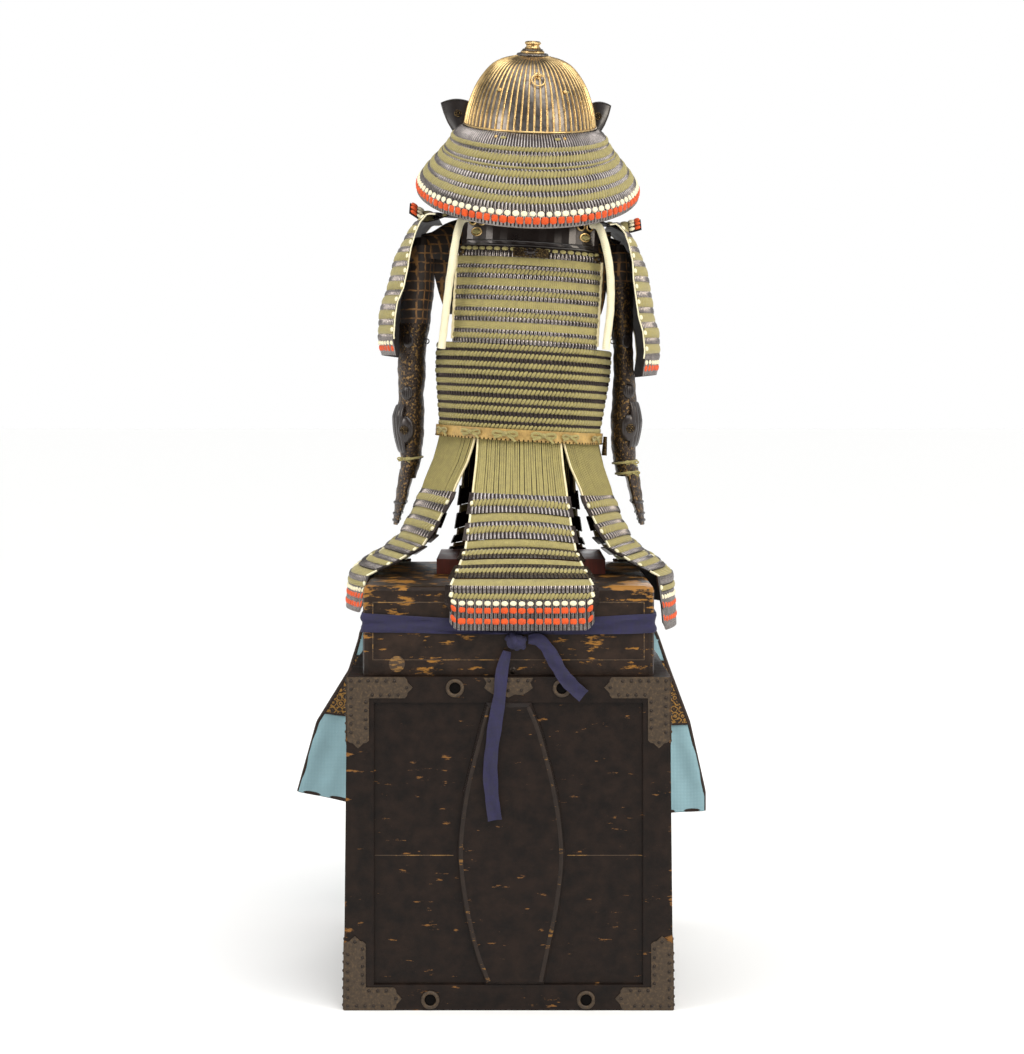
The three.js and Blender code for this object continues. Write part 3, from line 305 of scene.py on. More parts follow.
class Painter:
    """Makes the node material of a finish, once."""

    def __init__(self) -> None:
        """Starts with no material made."""
        self.made: dict[str, bpy.types.Material] = {}

    def material(self, finish: Finish) -> bpy.types.Material:
        """Gives a finish's material.

        Args:
            finish: The finish.

        Returns:
            The Blender material.
        """
        if finish.name not in self.made:
            self.made[finish.name] = self._paint(finish)
        return self.made[finish.name]

    def _paint(self, finish: Finish) -> bpy.types.Material:
        """Builds the nodes: tone, pattern, bump and shader.

        Args:
            finish: The finish.

        Returns:
            The new material.
        """
        material = bpy.data.materials.new(finish.name)
        material.use_nodes = True
        tree = material.node_tree
        tree.nodes.clear()
        place = add(tree, "TexCoord").outputs["Object"]
        accent, height = self._pattern(tree, finish, place)
        slow = add(tree, "TexNoise", {
            "Vector": place, "Scale": 1 / (finish.tone * MM), "Detail": 3.0, "Roughness": 0.6
        })
        main, other = linear(finish.colour), linear(finish.accent)
        dark = tuple((1 - finish.contrast) * c for c in main[:3]) + (1.0,)
        light = tuple(min(1.0, (1 + 0.6 * finish.contrast) * c) for c in main[:3]) + (1.0,)
        tone = add(tree, "ValToRGB", {"Fac": slow.outputs["Fac"]})
        tone.color_ramp.elements[0].position, tone.color_ramp.elements[0].color = 0.3, dark
        tone.color_ramp.elements[1].position, tone.color_ramp.elements[1].color = 0.68, light
        colour = add(tree, "Mix", {"Factor": accent, 6: tone.outputs["Color"], 7: other}, data_type="RGBA")
        rough = add(tree, "MapRange", {
            "Value": slow.outputs["Fac"], "From Min": 0.3, "From Max": 0.7, "To Min": finish.roughness * 0.86,
            "To Max": min(1.0, finish.roughness * 1.18)
        })
        bump = add(tree, "Bump", {"Height": height, "Strength": 0.7, "Distance": finish.relief * MM})
        shader = add(tree, "BsdfPrincipled", {
            "Base Color": colour.outputs[2], "Metallic": finish.metallic,
            "Roughness": rough.outputs["Result"], "IOR": finish.ior, "Specular IOR Level": finish.specular,
            "Normal": bump.outputs["Normal"], "Coat Weight": finish.coat, "Coat Roughness": 0.18,
            "Sheen Weight": finish.sheen, "Sheen Roughness": 0.5
        })
        add(tree, "OutputMaterial", {"Surface": shader.outputs["BSDF"]})
        return material

    def _pattern(
        self, tree: bpy.types.NodeTree, finish: Finish, place: bpy.types.NodeSocket
    ) -> tuple[bpy.types.NodeSocket, bpy.types.NodeSocket]:
        """Builds the pattern that breaks a finish up.

        Args:
            tree: The material's nodes.
            finish: The finish.
            place: Object coordinates.

        Returns:
            The accent's share and the height of the relief.
        """
        unit = 1 / (finish.scale * MM)
        noise = add(tree, "TexNoise", {"Vector": place, "Scale": unit, "Detail": 4.0, "Roughness": 0.55})
        match finish.pattern:
            case Pattern.BRAID:
                # Strands slant across the cord; the bands are drawn at their real width. The accent fills the
                # low parts of the relief: painted shade in the creases.
                turned = add(tree, "Mapping", {"Vector": place, "Rotation": (0.6, 0.5, 0.7)})
                wave = add(tree, "TexWave", {
                    "Vector": turned.outputs["Vector"], "Scale": unit / 3.2, "Distortion": 1.2, "Detail": 1.0,
                    "Detail Scale": 2.0
                }, bands_direction="DIAGONAL")
                share = add(tree, "MapRange", {"Value": wave.outputs["Fac"], "To Min": 0.55, "To Max": 0.0})
                return share.outputs["Result"], wave.outputs["Fac"]
            case Pattern.WEAVE:
                warp = add(tree, "TexWave", {
                    "Vector": place, "Scale": unit / 3.2, "Distortion": 0.6
                }, bands_direction="X")
                weft = add(tree, "TexWave", {
                    "Vector": place, "Scale": unit / 3.2, "Distortion": 0.6
                }, bands_direction="Z")
                cross = add(tree, "Math", {
                    0: warp.outputs["Fac"], 1: weft.outputs["Fac"]
                }, operation="MULTIPLY")
                share = add(tree, "MapRange", {"Value": cross.outputs["Value"], "To Min": 0.6, "To Max": 0.0})
                return share.outputs["Result"], cross.outputs["Value"]
            case Pattern.HIDE:
                pebble = add(tree, "TexVoronoi", {"Vector": place, "Scale": unit}, feature="SMOOTH_F1")
                share = add(tree, "MapRange", {
                    "Value": noise.outputs["Fac"], "From Min": 0.45, "From Max": 0.75, "To Max": 0.7
                })
                return share.outputs["Result"], pebble.outputs["Distance"]
            case Pattern.MAIL:
                rings = add(tree, "TexVoronoi", {"Vector": place, "Scale": unit}, feature="DISTANCE_TO_EDGE")
                fleck = add(tree, "TexNoise", {"Vector": place, "Scale": unit * 0.8, "Detail": 2.0})
                low = 0.62 - 0.4 * finish.cover
                share = add(tree, "MapRange", {
                    "Value": fleck.outputs["Fac"], "From Min": low, "From Max": low + 0.05
                })
                return share.outputs["Result"], rings.outputs["Distance"]
            case Pattern.FLOWERS:
                # Blossoms: petals from the angle round each cell's middle are left to a swirl of noise.
                swirl = add(tree, "TexNoise", {
                    "Vector": place, "Scale": unit * 1.6, "Detail": 2.0, "Distortion": 1.6
                })
                cells = add(tree, "TexVoronoi", {
                    "Vector": place, "Scale": unit, "Randomness": 0.55
                }, feature="F1")
                petal = add(tree, "Math", {
                    0: swirl.outputs["Fac"], 1: 0.42, 2: cells.outputs["Distance"]
                }, operation="MULTIPLY_ADD")
                rings = add(tree, "Math", {0: petal.outputs["Value"], 1: 0.16}, operation="PINGPONG")
                low = 0.115 - 0.1 * finish.cover
                share = add(tree, "MapRange", {
                    "Value": rings.outputs["Value"], "From Min": low, "From Max": low + 0.012
                })
                return share.outputs["Result"], share.outputs["Result"]
            case Pattern.FRET:
                # A lattice of squares, read along the slant of X and Y so that they show on every side.
                bent = add(tree, "Mix", {
                    "Factor": 0.005, 4: place, 5: noise.outputs["Color"]
                }, data_type="VECTOR")
                turned = add(tree, "Mapping", {
                    "Vector": bent.outputs[1], "Rotation": (math.pi / 2, math.pi / 4, 0.0)
                })
                squares = add(tree, "TexBrick", {
                    "Vector": turned.outputs["Vector"], "Scale": unit, "Mortar Size": 0.11,
                    "Mortar Smooth": 0.5, "Brick Width": 0.8, "Row Height": 1.05
                }, offset=0.0)
                worn = add(tree, "MapRange", {
                    "Value": noise.outputs["Fac"], "From Min": 0.4, "From Max": 0.52, "To Min": 0.25
                })
                share = add(tree, "Math", {
                    0: squares.outputs["Fac"], 1: worn.outputs["Result"]
                }, operation="MULTIPLY")
                return share.outputs["Value"], share.outputs["Value"]
            case Pattern.WORN:
                return self._wear(tree, finish, place, unit)
            case Pattern.GRAIN:
                drawn = add(tree, "Mapping", {"Vector": place, "Scale": (1.0, 1.0, 0.08)})
                grain = add(tree, "TexNoise", {
                    "Vector": drawn.outputs["Vector"], "Scale": unit, "Detail": 5.0
                })
                share = add(tree, "MapRange", {
                    "Value": grain.outputs["Fac"], "From Min": 0.4, "From Max": 0.7, "To Max": 0.8
                })
                return share.outputs["Result"], grain.outputs["Fac"]
            case Pattern.DAMASK:
                scroll = add(tree, "TexVoronoi", {"Vector": place, "Scale": unit}, feature="DISTANCE_TO_EDGE")
                share = add(tree, "MapRange", {
                    "Value": scroll.outputs["Distance"], "From Min": 0.22, "From Max": 0.08
                })
                return share.outputs["Result"], scroll.outputs["Distance"]
            case _:
                share = add(tree, "MapRange", {
                    "Value": noise.outputs["Fac"], "From Min": 0.5, "From Max": 0.78,
                    "To Max": 2 * finish.cover
                })
                return share.outputs["Result"], noise.outputs["Fac"]

    def _wear(
        self, tree: bpy.types.NodeTree, finish: Finish, place: bpy.types.NodeSocket, unit: float
    ) -> tuple[bpy.types.NodeSocket, bpy.types.NodeSocket]:
        """Builds old lacquer: chips and long scratches, denser towards a worn edge.

        Args:
            tree: The material's nodes.
            finish: The finish.
            place: Object coordinates.
            unit: Patterns to the metre.

        Returns:
            The accent's share and the height of the relief.
        """
        grain = add(tree, "Mapping", {"Vector": place, "Scale": (0.34, 0.34, 1.35)})
        chips = add(tree, "TexNoise", {
            "Vector": grain.outputs["Vector"], "Scale": unit, "Detail": 7.0, "Roughness": 0.68
        })
        value = chips.outputs["Fac"]
        if finish.wear_from is not None:
            split = add(tree, "SeparateXYZ", {"Vector": place})
            rise = add(tree, "MapRange", {
                "Value": split.outputs["Z"], "From Min": finish.wear_from * MM,
                "From Max": finish.wear_to * MM, "To Max": 0.2
            })
            value = add(tree, "Math", {0: value, 1: rise.outputs["Result"]}, operation="ADD").outputs["Value"]
        if finish.edges is not None:
            split = add(tree, "SeparateXYZ", {"Vector": place})
            near = []
            for axis, start in zip("XY", finish.edges):
                reach = add(tree, "Math", {0: split.outputs[axis]}, operation="ABSOLUTE")
                span = {"From Min": start * MM, "From Max": (start + 12) * MM}
                near.append(add(tree, "MapRange", {"Value": reach.outputs["Value"], **span}))
            corner = add(tree, "Math", {
                0: near[0].outputs["Result"], 1: near[1].outputs["Result"]
            }, operation="MULTIPLY")
            value = add(tree, "Math", {
                0: corner.outputs["Value"], 1: 0.11, 2: value
            }, operation="MULTIPLY_ADD").outputs["Value"]
        low = 0.69 - 0.5 * finish.cover
        share = add(tree, "MapRange", {
            "Value": value, "From Min": low, "From Max": low + 0.035, "To Max": 0.9
        })
        fine = add(tree, "TexNoise", {"Vector": grain.outputs["Vector"], "Scale": unit * 9, "Detail": 3.0})
        height = add(tree, "Math", {0: fine.outputs["Fac"], 1: share.outputs["Result"]}, operation="SUBTRACT")
        return share.outputs["Result"], height.outputs["Value"]


# Meshes.


def read(table: Table, key: int, wanted: int, value: np.ndarray | float) -> np.ndarray:
    """Reads a table's column where another column, rising or falling, has the value given.

    Args:
        table: Rows of numbers.
        key: Column that is looked up.
        wanted: Column that is read.
        value: Value or values looked up.

    Returns:
        The values read, held at the table's ends.
    """
    rows = np.asarray(table, float)
    if rows[0, key] > rows[-1, key]:
        rows = rows[::-1]
    return np.interp(value, rows[:, key], rows[:, wanted])


def mixed(a: float | np.ndarray, b: float | np.ndarray, t: float | np.ndarray) -> float | np.ndarray:
    """Goes from a to b by the share t."""
    return a + (b - a) * t


def moved(points: Points, matrix: Matrix) -> Points:
    """Turns and moves points by a matrix."""
    whole = np.asarray(matrix)
    return points @ whole[:3, :3].T + whole[:3, 3]


def along_line(line: Points) -> np.ndarray:
    """Measures a line from its start to each of its points."""
    return np.concatenate([[0], np.cumsum(np.linalg.norm(np.diff(line, axis=0), axis=1))])


def smooth_line(route: Table, count: int) -> Points:
    """Runs a smooth line through points.

    Args:
        route: The points, in millimetres.
        count: How many points the line gets.

    Returns:
        Points evenly spaced along a spline through the route.
    """
    given = np.asarray(route, float)
    ends = np.vstack([2 * given[0] - given[1], given, 2 * given[-1] - given[-2]])
    fine: list[Points] = []
    for i in range(1, len(ends) - 2):
        p0, p1, p2, p3 = ends[i - 1 : i + 3]
        t = np.linspace(0, 1, 24, endpoint=False)[:, None]
        fine.append(
            0.5 * (
                2 * p1 + (p2 - p0) * t + (2 * p0 - 5 * p1 + 4 * p2 - p3) * t**2 + (3 * p1 - p0 - 3 * p2 + p3)
                * t**3
            )
        )
    line = np.vstack([*fine, given[-1:]])
    run = along_line(line)
    wanted = np.linspace(0, run[-1], count)
    return np.stack([np.interp(wanted, run, line[:, k]) for k in range(3)], axis=1)


class Lot:
    """Gathers the points and faces that become one mesh."""

    def __init__(self) -> None:
        """Starts empty."""
        self.points: list[Points] = []
        self.faces: list[tuple[int, ...]] = []
        self.total = 0

    def put(self, points: Points, faces: np.ndarray | Sequence[Sequence[int]]) -> None:
        """Adds points and the faces between them.

        Args:
            points: Points in any grid shape.
            faces: Faces as indices into these points.
        """
        shape = np.asarray(points, float).reshape(-1, 3)
        rows = np.asarray(faces, int) + self.total
        self.points.append(shape)
        self.faces.extend(map(tuple, rows.tolist()))
        self.total += len(shape)

    def grid(self, points: Points, wrap: bool = False, tall: bool = False, group: int = 0) -> None:
        """Adds a skin of squares over a grid of points.

        Args:
            points: Rows of columns of points.
            wrap: Whether the last column joins the first one.
            tall: Whether the last row joins the first one.
            group: Columns that stay together, with a gap after each group, or 0.
        """
        rows, columns = points.shape[:2]
        index = np.arange(rows * columns).reshape(rows, columns)
        if wrap:
            index = np.hstack([index, index[:, :1]])
        if tall:
            index = np.vstack([index, index[:1]])
        quads = np.stack([index[:-1, :-1], index[1:, :-1], index[1:, 1:], index[:-1, 1:]], axis=-1)
        if group:
            quads = quads[:, (np.arange(quads.shape[1]) + 1) % group != 0]
        self.put(points, quads.reshape(-1, 4))

    def shell(self, outer: Points, inner: Points, wrap: bool = False) -> None:
        """Adds a closed wall between two grids of the same size.

        Args:
            outer: Grid of outer points.
            inner: Grid of inner points.
            wrap: Whether the wall runs all round.
        """
        rows, columns = outer.shape[:2]
        out = np.arange(rows * columns).reshape(rows, columns)
        inn = out + rows * columns
        if wrap:
            out, inn = (np.hstack([side, side[:, :1]]) for side in (out, inn))

        def quads(a: np.ndarray, b: np.ndarray, c: np.ndarray, d: np.ndarray) -> np.ndarray:
            """Makes squares of four lists of corners."""
            return np.stack([a, b, c, d], axis=-1).reshape(-1, 4)

        faces = [
            quads(out[:-1, :-1], out[1:, :-1], out[1:, 1:], out[:-1, 1:]),
            quads(inn[:-1, 1:], inn[1:, 1:], inn[1:, :-1], inn[:-1, :-1]),
            quads(inn[0, :-1], out[0, :-1], out[0, 1:], inn[0, 1:]),
            quads(out[-1, :-1], inn[-1, :-1], inn[-1, 1:], out[-1, 1:]),
        ]
        if not wrap:
            faces += [
                quads(out[:-1, 0], inn[:-1, 0], inn[1:, 0], out[1:, 0]),
                quads(inn[:-1, -1], out[:-1, -1], out[1:, -1], inn[1:, -1]),
            ]
        self.put(np.concatenate([outer.reshape(-1, 3), inner.reshape(-1, 3)]), np.concatenate(faces))

    def tube(
        self, line: Points, radius: float | np.ndarray, sides: int = 8, flat: float = 1.0, twist: float = 0.0,
        lobes: int = 0, closed: bool = False
    ) -> None:
        """Adds a tube along a line.

        Args:
            line: Points of its middle line.
            radius: Radius, or one for each point.
            sides: Sides of the tube.
            flat: Its thickness as a share of its width.
            twist: Turns of its lobes to a millimetre.
            lobes: Number of twisted strands that show.
            closed: Whether the line is a loop.
        """
        count = len(line)
        if closed:
            along = np.roll(line, -1, axis=0) - np.roll(line, 1, axis=0)
        else:
            along = np.gradient(line, axis=0)
        along /= np.linalg.norm(along, axis=1)[:, None]
        side = np.zeros_like(line)
        lead = OFF if abs(along[0][1]) < 0.9 else UP
        for i in range(count):
            lead = lead - along[i] * (lead @ along[i])
            lead /= np.linalg.norm(lead)
            side[i] = lead
        third = np.cross(along, side)
        sizes = np.broadcast_to(np.asarray(radius, float), (count,))
        run = along_line(line)
        angle = np.linspace(0, 2 * math.pi, sides, endpoint=False)[None, :]
        swell = 1.0 + (
            0.09 * np.abs(np.sin(lobes / 2 * angle + 2 * math.pi * twist * run[:, None])) if lobes else 0.0
        ) - (0.05 if lobes else 0.0)
        reach = sizes[:, None] * swell
        ring = (
            line[:, None] + side[:, None] * (flat * reach * np.cos(angle))[..., None]
            + third[:, None] * (reach * np.sin(angle))[..., None]
        )
        self.grid(ring, wrap=True, tall=closed)
        if not closed:
            first = self.total - count * sides
            self.faces.append(tuple(first + j for j in range(sides)))
            self.faces.append(tuple(first + (count - 1) * sides + j for j in reversed(range(sides))))

    def dome(
        self, centre: Points, wide: Points, tall: Points, high: Points, sides: int = 10, square: float = 2.6,
        rings: int = 2
    ) -> None:
        """Adds one low rounded pad, as domes does."""
        self.domes(centre[None], wide[None], tall[None], high[None], sides, square, rings=rings)

    def domes(
        self, centres: Points, wide: Points, tall: Points, high: Points, sides: int = 10, square: float = 2.6,
        lean: float = 0.0, rings: int = 2
    ) -> None:
        """Adds low rounded pads, each on its own outline.

        Args:
            centres: Their middles, at the level of their rims.
            wide: Half widths as vectors.
            tall: Half heights as vectors.
            high: Heights as vectors square to the ground.
            sides: Corners of the outline.
            square: 2 for an ellipse, more for a squarer pad.
            lean: How far the top leans sideways, in half widths.
            rings: Rings between the rim and the top.
        """
        turn = np.linspace(0, 2 * math.pi, sides, endpoint=False) + math.pi / sides
        cx = np.sign(np.cos(turn)) * np.abs(np.cos(turn)) ** (2 / square)
        cy = np.sign(np.sin(turn)) * np.abs(np.sin(turn)) ** (2 / square)
        reach = np.cos(np.linspace(0, math.pi / 2, rings + 1))[:rings] ** 0.8
        rise = np.sin(np.linspace(0, math.pi / 2, rings + 1))[:rings]
        local = [(r * cx, r * cy, np.full(sides, h)) for r, h in zip(reach, rise)]
        a = np.concatenate([p[0] for p in local] + [[0.0]])
        b = np.concatenate([p[1] for p in local] + [[0.0]])
        c = np.concatenate([p[2] for p in local] + [[1.0]])
        slant = a + lean * b
        shape = (
            centres[:, None] + wide[:, None] * slant[None, :, None] + tall[:, None] * b[None, :, None]
            + high[:, None] * c[None, :, None]
        )
        faces: list[tuple[int, int, int]] = []
        for i in range(rings - 1):
            for j in range(sides):
                k = (j + 1) % sides
                faces += [
                    (i * sides + j, i * sides + k, (i + 1) * sides + k),
                    (i * sides + j, (i + 1) * sides + k, (i + 1) * sides + j)
                ]
        last = (rings - 1) * sides
        faces += [(last + j, last + (j + 1) % sides, rings * sides) for j in range(sides)]
        faces += [(0, j + 1, j) for j in range(1, sides - 1)]
        template = np.asarray(faces)
        per = rings * sides + 1
        many = (template[None] + (np.arange(len(centres)) * per)[:, None, None]).reshape(-1, 3)
        self.put(shape, many)


class Assembly:
    """A sub-assembly, which turns lots into objects that ride on the frame."""

    painter: ClassVar[Painter] = Painter()

    def make(
        self, name: str, lot: Lot, finish: Finish, replaces: Sequence[str] = (), body: str = "armour",
        smooth: float = 50.0
    ) -> bpy.types.Object:
        """Makes an object of a lot.

        Args:
            name: The piece's name.
            lot: Its points and faces, in millimetres.
            finish: Its finish.
            replaces: Nodes that it stands for.
            body: The body that it rides on.
            smooth: Edges sharper than this angle stay sharp.

        Returns:
            The new object.
        """
        mesh = bpy.data.meshes.new(name)
        mesh.from_pydata((np.concatenate(lot.points) * MM).tolist(), [], lot.faces)
        mesh.update()
        mesh.shade_smooth()
        mesh.set_sharp_from_angle(angle=math.radians(smooth))
        mesh.materials.append(self.painter.material(finish))
        piece = bpy.data.objects.new(name, mesh)
        bpy.context.scene.collection.objects.link(piece)
        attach(piece, body)
        if replaces:
            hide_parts(*replaces)
        LOG.info("%s: %d faces", name, len(lot.faces))
        return piece

    def dress(self, node: str, finish: Finish) -> None:
        """Gives a node of the frame its finish.

        Args:
            node: The node's name.
            finish: Its finish.
        """
        piece = frame["nodes"][node]
        piece.data.materials.clear()
        piece.data.materials.append(self.painter.material(finish))
        LOG.info("%s: %s", node, finish.name)


@dataclass
class Surface:
    """A curved sheet that pieces are laid on.

    Args:
        place: Gives points for shares across and down, each from 0 to 1.
        side: The sign that makes its direction point out.
        wrap: Whether it runs all round.
    """

    place: Callable[[np.ndarray, np.ndarray], Points]
    side: float = 1.0
    wrap: bool = False

    def at(self, across: np.ndarray, down: np.ndarray, out: np.ndarray | float = 0.0) -> Points:
        """Gives points that stand off the sheet.

        Args:
            across: Shares across.
            down: Shares down.
            out: Distance off the sheet.

        Returns:
            The points.
        """
        across, down = np.broadcast_arrays(np.asarray(across, float), np.asarray(down, float))
        return (
            self.place(across, down) + self.out(across, down) * np.broadcast_to(out, across.shape)[..., None]
        )

    def out(self, across: np.ndarray, down: np.ndarray) -> Points:
        """Gives directions square to the sheet, pointing out.

        Args:
            across: Shares across.
            down: Shares down.

        Returns:
            Unit vectors.
        """
        step = 4e-3
        fall = (
            self.place(across, np.minimum(down + step, 1.0))
            - self.place(across, np.maximum(down - step, 0.0))
        )
        if self.wrap:
            run = self.place(across + step, down) - self.place(across - step, down)
        else:
            run = (
                self.place(np.minimum(across + step, 1.0), down)
                - self.place(np.maximum(across - step, 0.0), down)
            )
        normal = np.cross(fall, run) * self.side
        return normal / np.maximum(np.linalg.norm(normal, axis=-1, keepdims=True), 1e-9)

    def span(self, down: float) -> float:
        """Measures the sheet across, at a share down."""
        line = self.place(np.linspace(0, 1, 65), np.full(65, down))
        return float(np.linalg.norm(np.diff(line, axis=0), axis=1).sum())

    def fall(self) -> float:
        """Measures the sheet down its middle, from top to hem."""
        line = self.place(np.full(65, 0.5), np.linspace(0, 1, 65))
        return float(np.linalg.norm(np.diff(line, axis=0), axis=1).sum())


class Strip(Enum):
    """Kinds of rows that a laced surface is made of."""

    SCALES = "heads of lacquered scales, side by side"
    ROPE = "slanted lacing that looks like a rope"
    THREADS = "upright lacing, close together"
    CREAM = "cream knots"
    ORANGE = "orange knots"
    OLIVE_KNOTS = "separate olive knots"


@dataclass
class Row:
    """One row of a laced surface.

    Args:
        kind: What it is made of.
        start: Where it starts, as a share down.
        end: Where it ends.
        out_start: How far its ground stands off at its start.
        out_end: How far its ground stands off at its end.
        pitch: Width of one of its units in millimetres, or None for the usual one.
        margin: Share left free at each end.
    """

    kind: Strip
    start: float
    end: float
    out_start: float
    out_end: float
    pitch: float | None = None
    margin: float = 0.0


PITCH = {
    Strip.SCALES: 6.4, Strip.ROPE: 6.4, Strip.THREADS: 3.2, Strip.CREAM: 13.6, Strip.ORANGE: 13.6,
    Strip.OLIVE_KNOTS: 13.0
}
FINISH_OF = {
    Strip.ROPE: OLIVE_SILK,
    Strip.THREADS: OLIVE_SILK,
    Strip.CREAM: CREAM_SILK,
    Strip.ORANGE: ORANGE_SILK,
    Strip.OLIVE_KNOTS: OLIVE_SILK,
}


@dataclass
class Laced(Assembly):
    """A laced panel: a dark lacquered wall with rows of scales, cords and knots on it.

    Args:
        name: The panel's name.
        surface: The sheet on its inner side.
        rows: Its rows, from the top down.
        nodes: Nodes that it stands for.
        wall: Thickness of the wall.
        slabs: Spans of the separate plates as (start, end, out at start, out at end), or none for one wall.
        heads: Finish of the scale heads.
    """

    name: str
    surface: Surface
    rows: list[Row]
    nodes: list[str]
    wall: float = 1.8
    slabs: list[tuple[float, float, float, float]] = field(default_factory=list)
    heads: Finish = SCALE_LACQUER

    def build(self) -> None:
        """Makes the wall, then one object for each finish on it."""
        self.make(self.name + "_plates", self._walls(), WALL_LACQUER, self.nodes)
        lots: dict[str, tuple[Finish, Lot]] = {}
        for number, row in enumerate(self.rows):
            finish = self.heads if row.kind is Strip.SCALES else FINISH_OF[row.kind]
            lot = lots.setdefault(finish.name, (finish, Lot()))[1]
            if row.kind is Strip.SCALES:
                self._scales(lot, row)
            elif row.kind is Strip.THREADS:
                self._threads(lot, row)
            else:
                self._pads(lot, row, number)
        for finish, lot in lots.values():
            self.make(f"{self.name}_{finish.name}", lot, finish, self.nodes, smooth=60)

    def _walls(self) -> Lot:
        """Builds the dark plates under the rows.

        Returns:
            The lot of the plates.
        """
        lot = Lot()
        across = np.linspace(0, 1, max(8, round(self.surface.span(0.5) / 14)) + 1)
        if self.surface.wrap:
            across = across[:-1]
        spans = self.slabs or [(0.0, 1.0, 0.0, 0.0)]
        for start, end, low, high in spans:
            count = max(3, round((end - start) * self.surface.fall() / 9) + 1)
            down = np.linspace(start, end, count)[:, None]
            inner = np.linspace(low, high, count)[:, None]
            lot.shell(
                self.surface.at(across[None], down, inner + self.wall),
                self.surface.at(across[None], down, inner),
                self.surface.wrap,
            )
        return lot

    def _columns(self, row: Row, offsets: Sequence[float]) -> tuple[np.ndarray, int]:
        """Divides a row into units.

        Args:
            row: The row.
            offsets: Columns of one unit, as shares of its pitch.

        Returns:
            The shares across of all columns, and the number of units.
        """
        middle = (row.start + row.end) / 2
        width = self.surface.span(middle) * (1 - 2 * row.margin)
        count = max(2, round(width / (row.pitch or PITCH[row.kind])))
        shares = (np.arange(count)[:, None] + np.asarray(offsets)[None]).ravel() / count
        if not self.surface.wrap:
            shares = np.append(shares, 1.0)
        return row.margin + (1 - 2 * row.margin) * shares, count

    def _scales(self, lot: Lot, row: Row) -> None:
        """Lays the heads of scales, each an upright ridge between dark gaps.

        Args:
            lot: The lot that they go to.
            row: The row.
        """
        across, count = self._columns(row, (0.14, 0.24, 0.5, 0.76, 0.86))
        across = across[: 5 * count]
        ridge = np.tile([-0.5, 0.8, 1.35, 0.8, -0.5], count)
        down = np.linspace(row.start, row.end, 4)
        ground = np.linspace(row.out_start, row.out_end, 4) + self.wall
        swell = np.array([0.1, 1.0, 1.0, 0.3])
        out = ground[:, None] + swell[:, None] * ridge[None]
        lot.grid(self.surface.at(across[None], down[:, None], out), group=5)

    def _threads(self, lot: Lot, row: Row) -> None:
        """Lays upright cords side by side.

        Args:
            lot: The lot that they go to.
            row: The row.
        """
        across, count = self._columns(row, (0.0, 0.22, 0.5, 0.78))
        ridge = np.tile([0.0, 0.75, 1.0, 0.75], count)
        if not self.surface.wrap:
            ridge = np.append(ridge, 0.0)
        down = np.linspace(row.start, row.end, 4)
        ground = np.linspace(row.out_start, row.out_end, 4) + self.wall
        swell = np.array([0.0, 1.0, 1.0, 0.0])
        out = ground[:, None] + swell[:, None] * (0.9 + 0.9 * ridge[None]) - 0.3
        outer = self.surface.at(across[None], down[:, None], out)
        if self.slabs:
            lot.shell(
                outer, self.surface.at(across[None], down[:, None], ground[:, None] - 0.6), self.surface.wrap
            )
        else:
            lot.grid(outer, self.surface.wrap)

    def _pads(self, lot: Lot, row: Row, number: int) -> None:
        """Lays slanted cord crossings or single knots.

        Args:
            lot: The lot that they go to.
            row: The row.
            number: The row's number on the panel.
        """
        _, count = self._columns(row, (0.0,))
        knots = row.kind is not Strip.ROPE
        shift = 0.5 + (0.0 if knots else 0.17 * (number % 3))
        share = (np.arange(count) + (shift if self.surface.wrap else 0.5)) / count
        across = row.margin + (1 - 2 * row.margin) * share
        middle = (row.start + row.end) / 2
        ground = (row.out_start + row.out_end) / 2 + self.wall
        tall_mm = (row.end - row.start) * self.surface.fall() / 2
        wide_mm = self.surface.span(middle) * (1 - 2 * row.margin) / count / 2
        rng = np.random.default_rng(SEED + number)
        down = np.full(count, middle)
        if knots:
            down = down + rng.normal(0, 0.02 * (row.end - row.start), count)
        step = 2e-3
        if self.surface.wrap:
            run = self.surface.place(across + step, down) - self.surface.place(across - step, down)
        else:
            run = (
                self.surface.place(np.minimum(across + step, 1), down)
                - self.surface.place(np.maximum(across - step, 0), down)
            )
        drop = (
            self.surface.place(across, np.minimum(down + step, 1))
            - self.surface.place(across, np.maximum(down - step, 0))
        )
        run /= np.linalg.norm(run, axis=1)[:, None]
        drop /= np.linalg.norm(drop, axis=1)[:, None]
        normal = self.surface.out(across, down)
        sizes = 1 + rng.normal(0, 0.035, count)
        if knots:
            wide, tall, high = 0.86 * wide_mm * sizes, 0.98 * tall_mm * sizes, 3.0 + 0 * sizes
            if row.kind is Strip.CREAM:
                wide, tall = 0.8 * wide_mm * sizes, 1.0 * tall_mm * sizes
            lot.domes(
                self.surface.at(across, down, ground - 0.4),
                run * wide[:, None],
                drop * tall[:, None],
                normal * high[:, None],
                sides=12, square=3.4 if row.kind is Strip.ORANGE else 2.2, rings=3,
            )
            return
        lot.domes(
            self.surface.at(across, down, ground - 0.5),
            run * (1.06 * wide_mm * sizes)[:, None],
            -drop * (1.12 * tall_mm * sizes)[:, None],
            normal * (3.1 * sizes)[:, None],
            sides=8, square=2.5, lean=0.72, rings=2,
        )


# Cuirass and skirt.

WAIST = Matrix.Translation(Vector((21, 40, 950))) @ Matrix.Rotation(math.radians(3.3), 4, "Y")
# Height above the waist, half width, depth to the rear and depth to the front.
BODY = (
    (312, 145, 104, 100),
    (256, 146, 110, 106),
    (180, 146, 119, 117),
    (93, 145.5, 123, 122),
    (50, 145.5, 122, 121),
    (-54, 132.5, 112, 112),
)


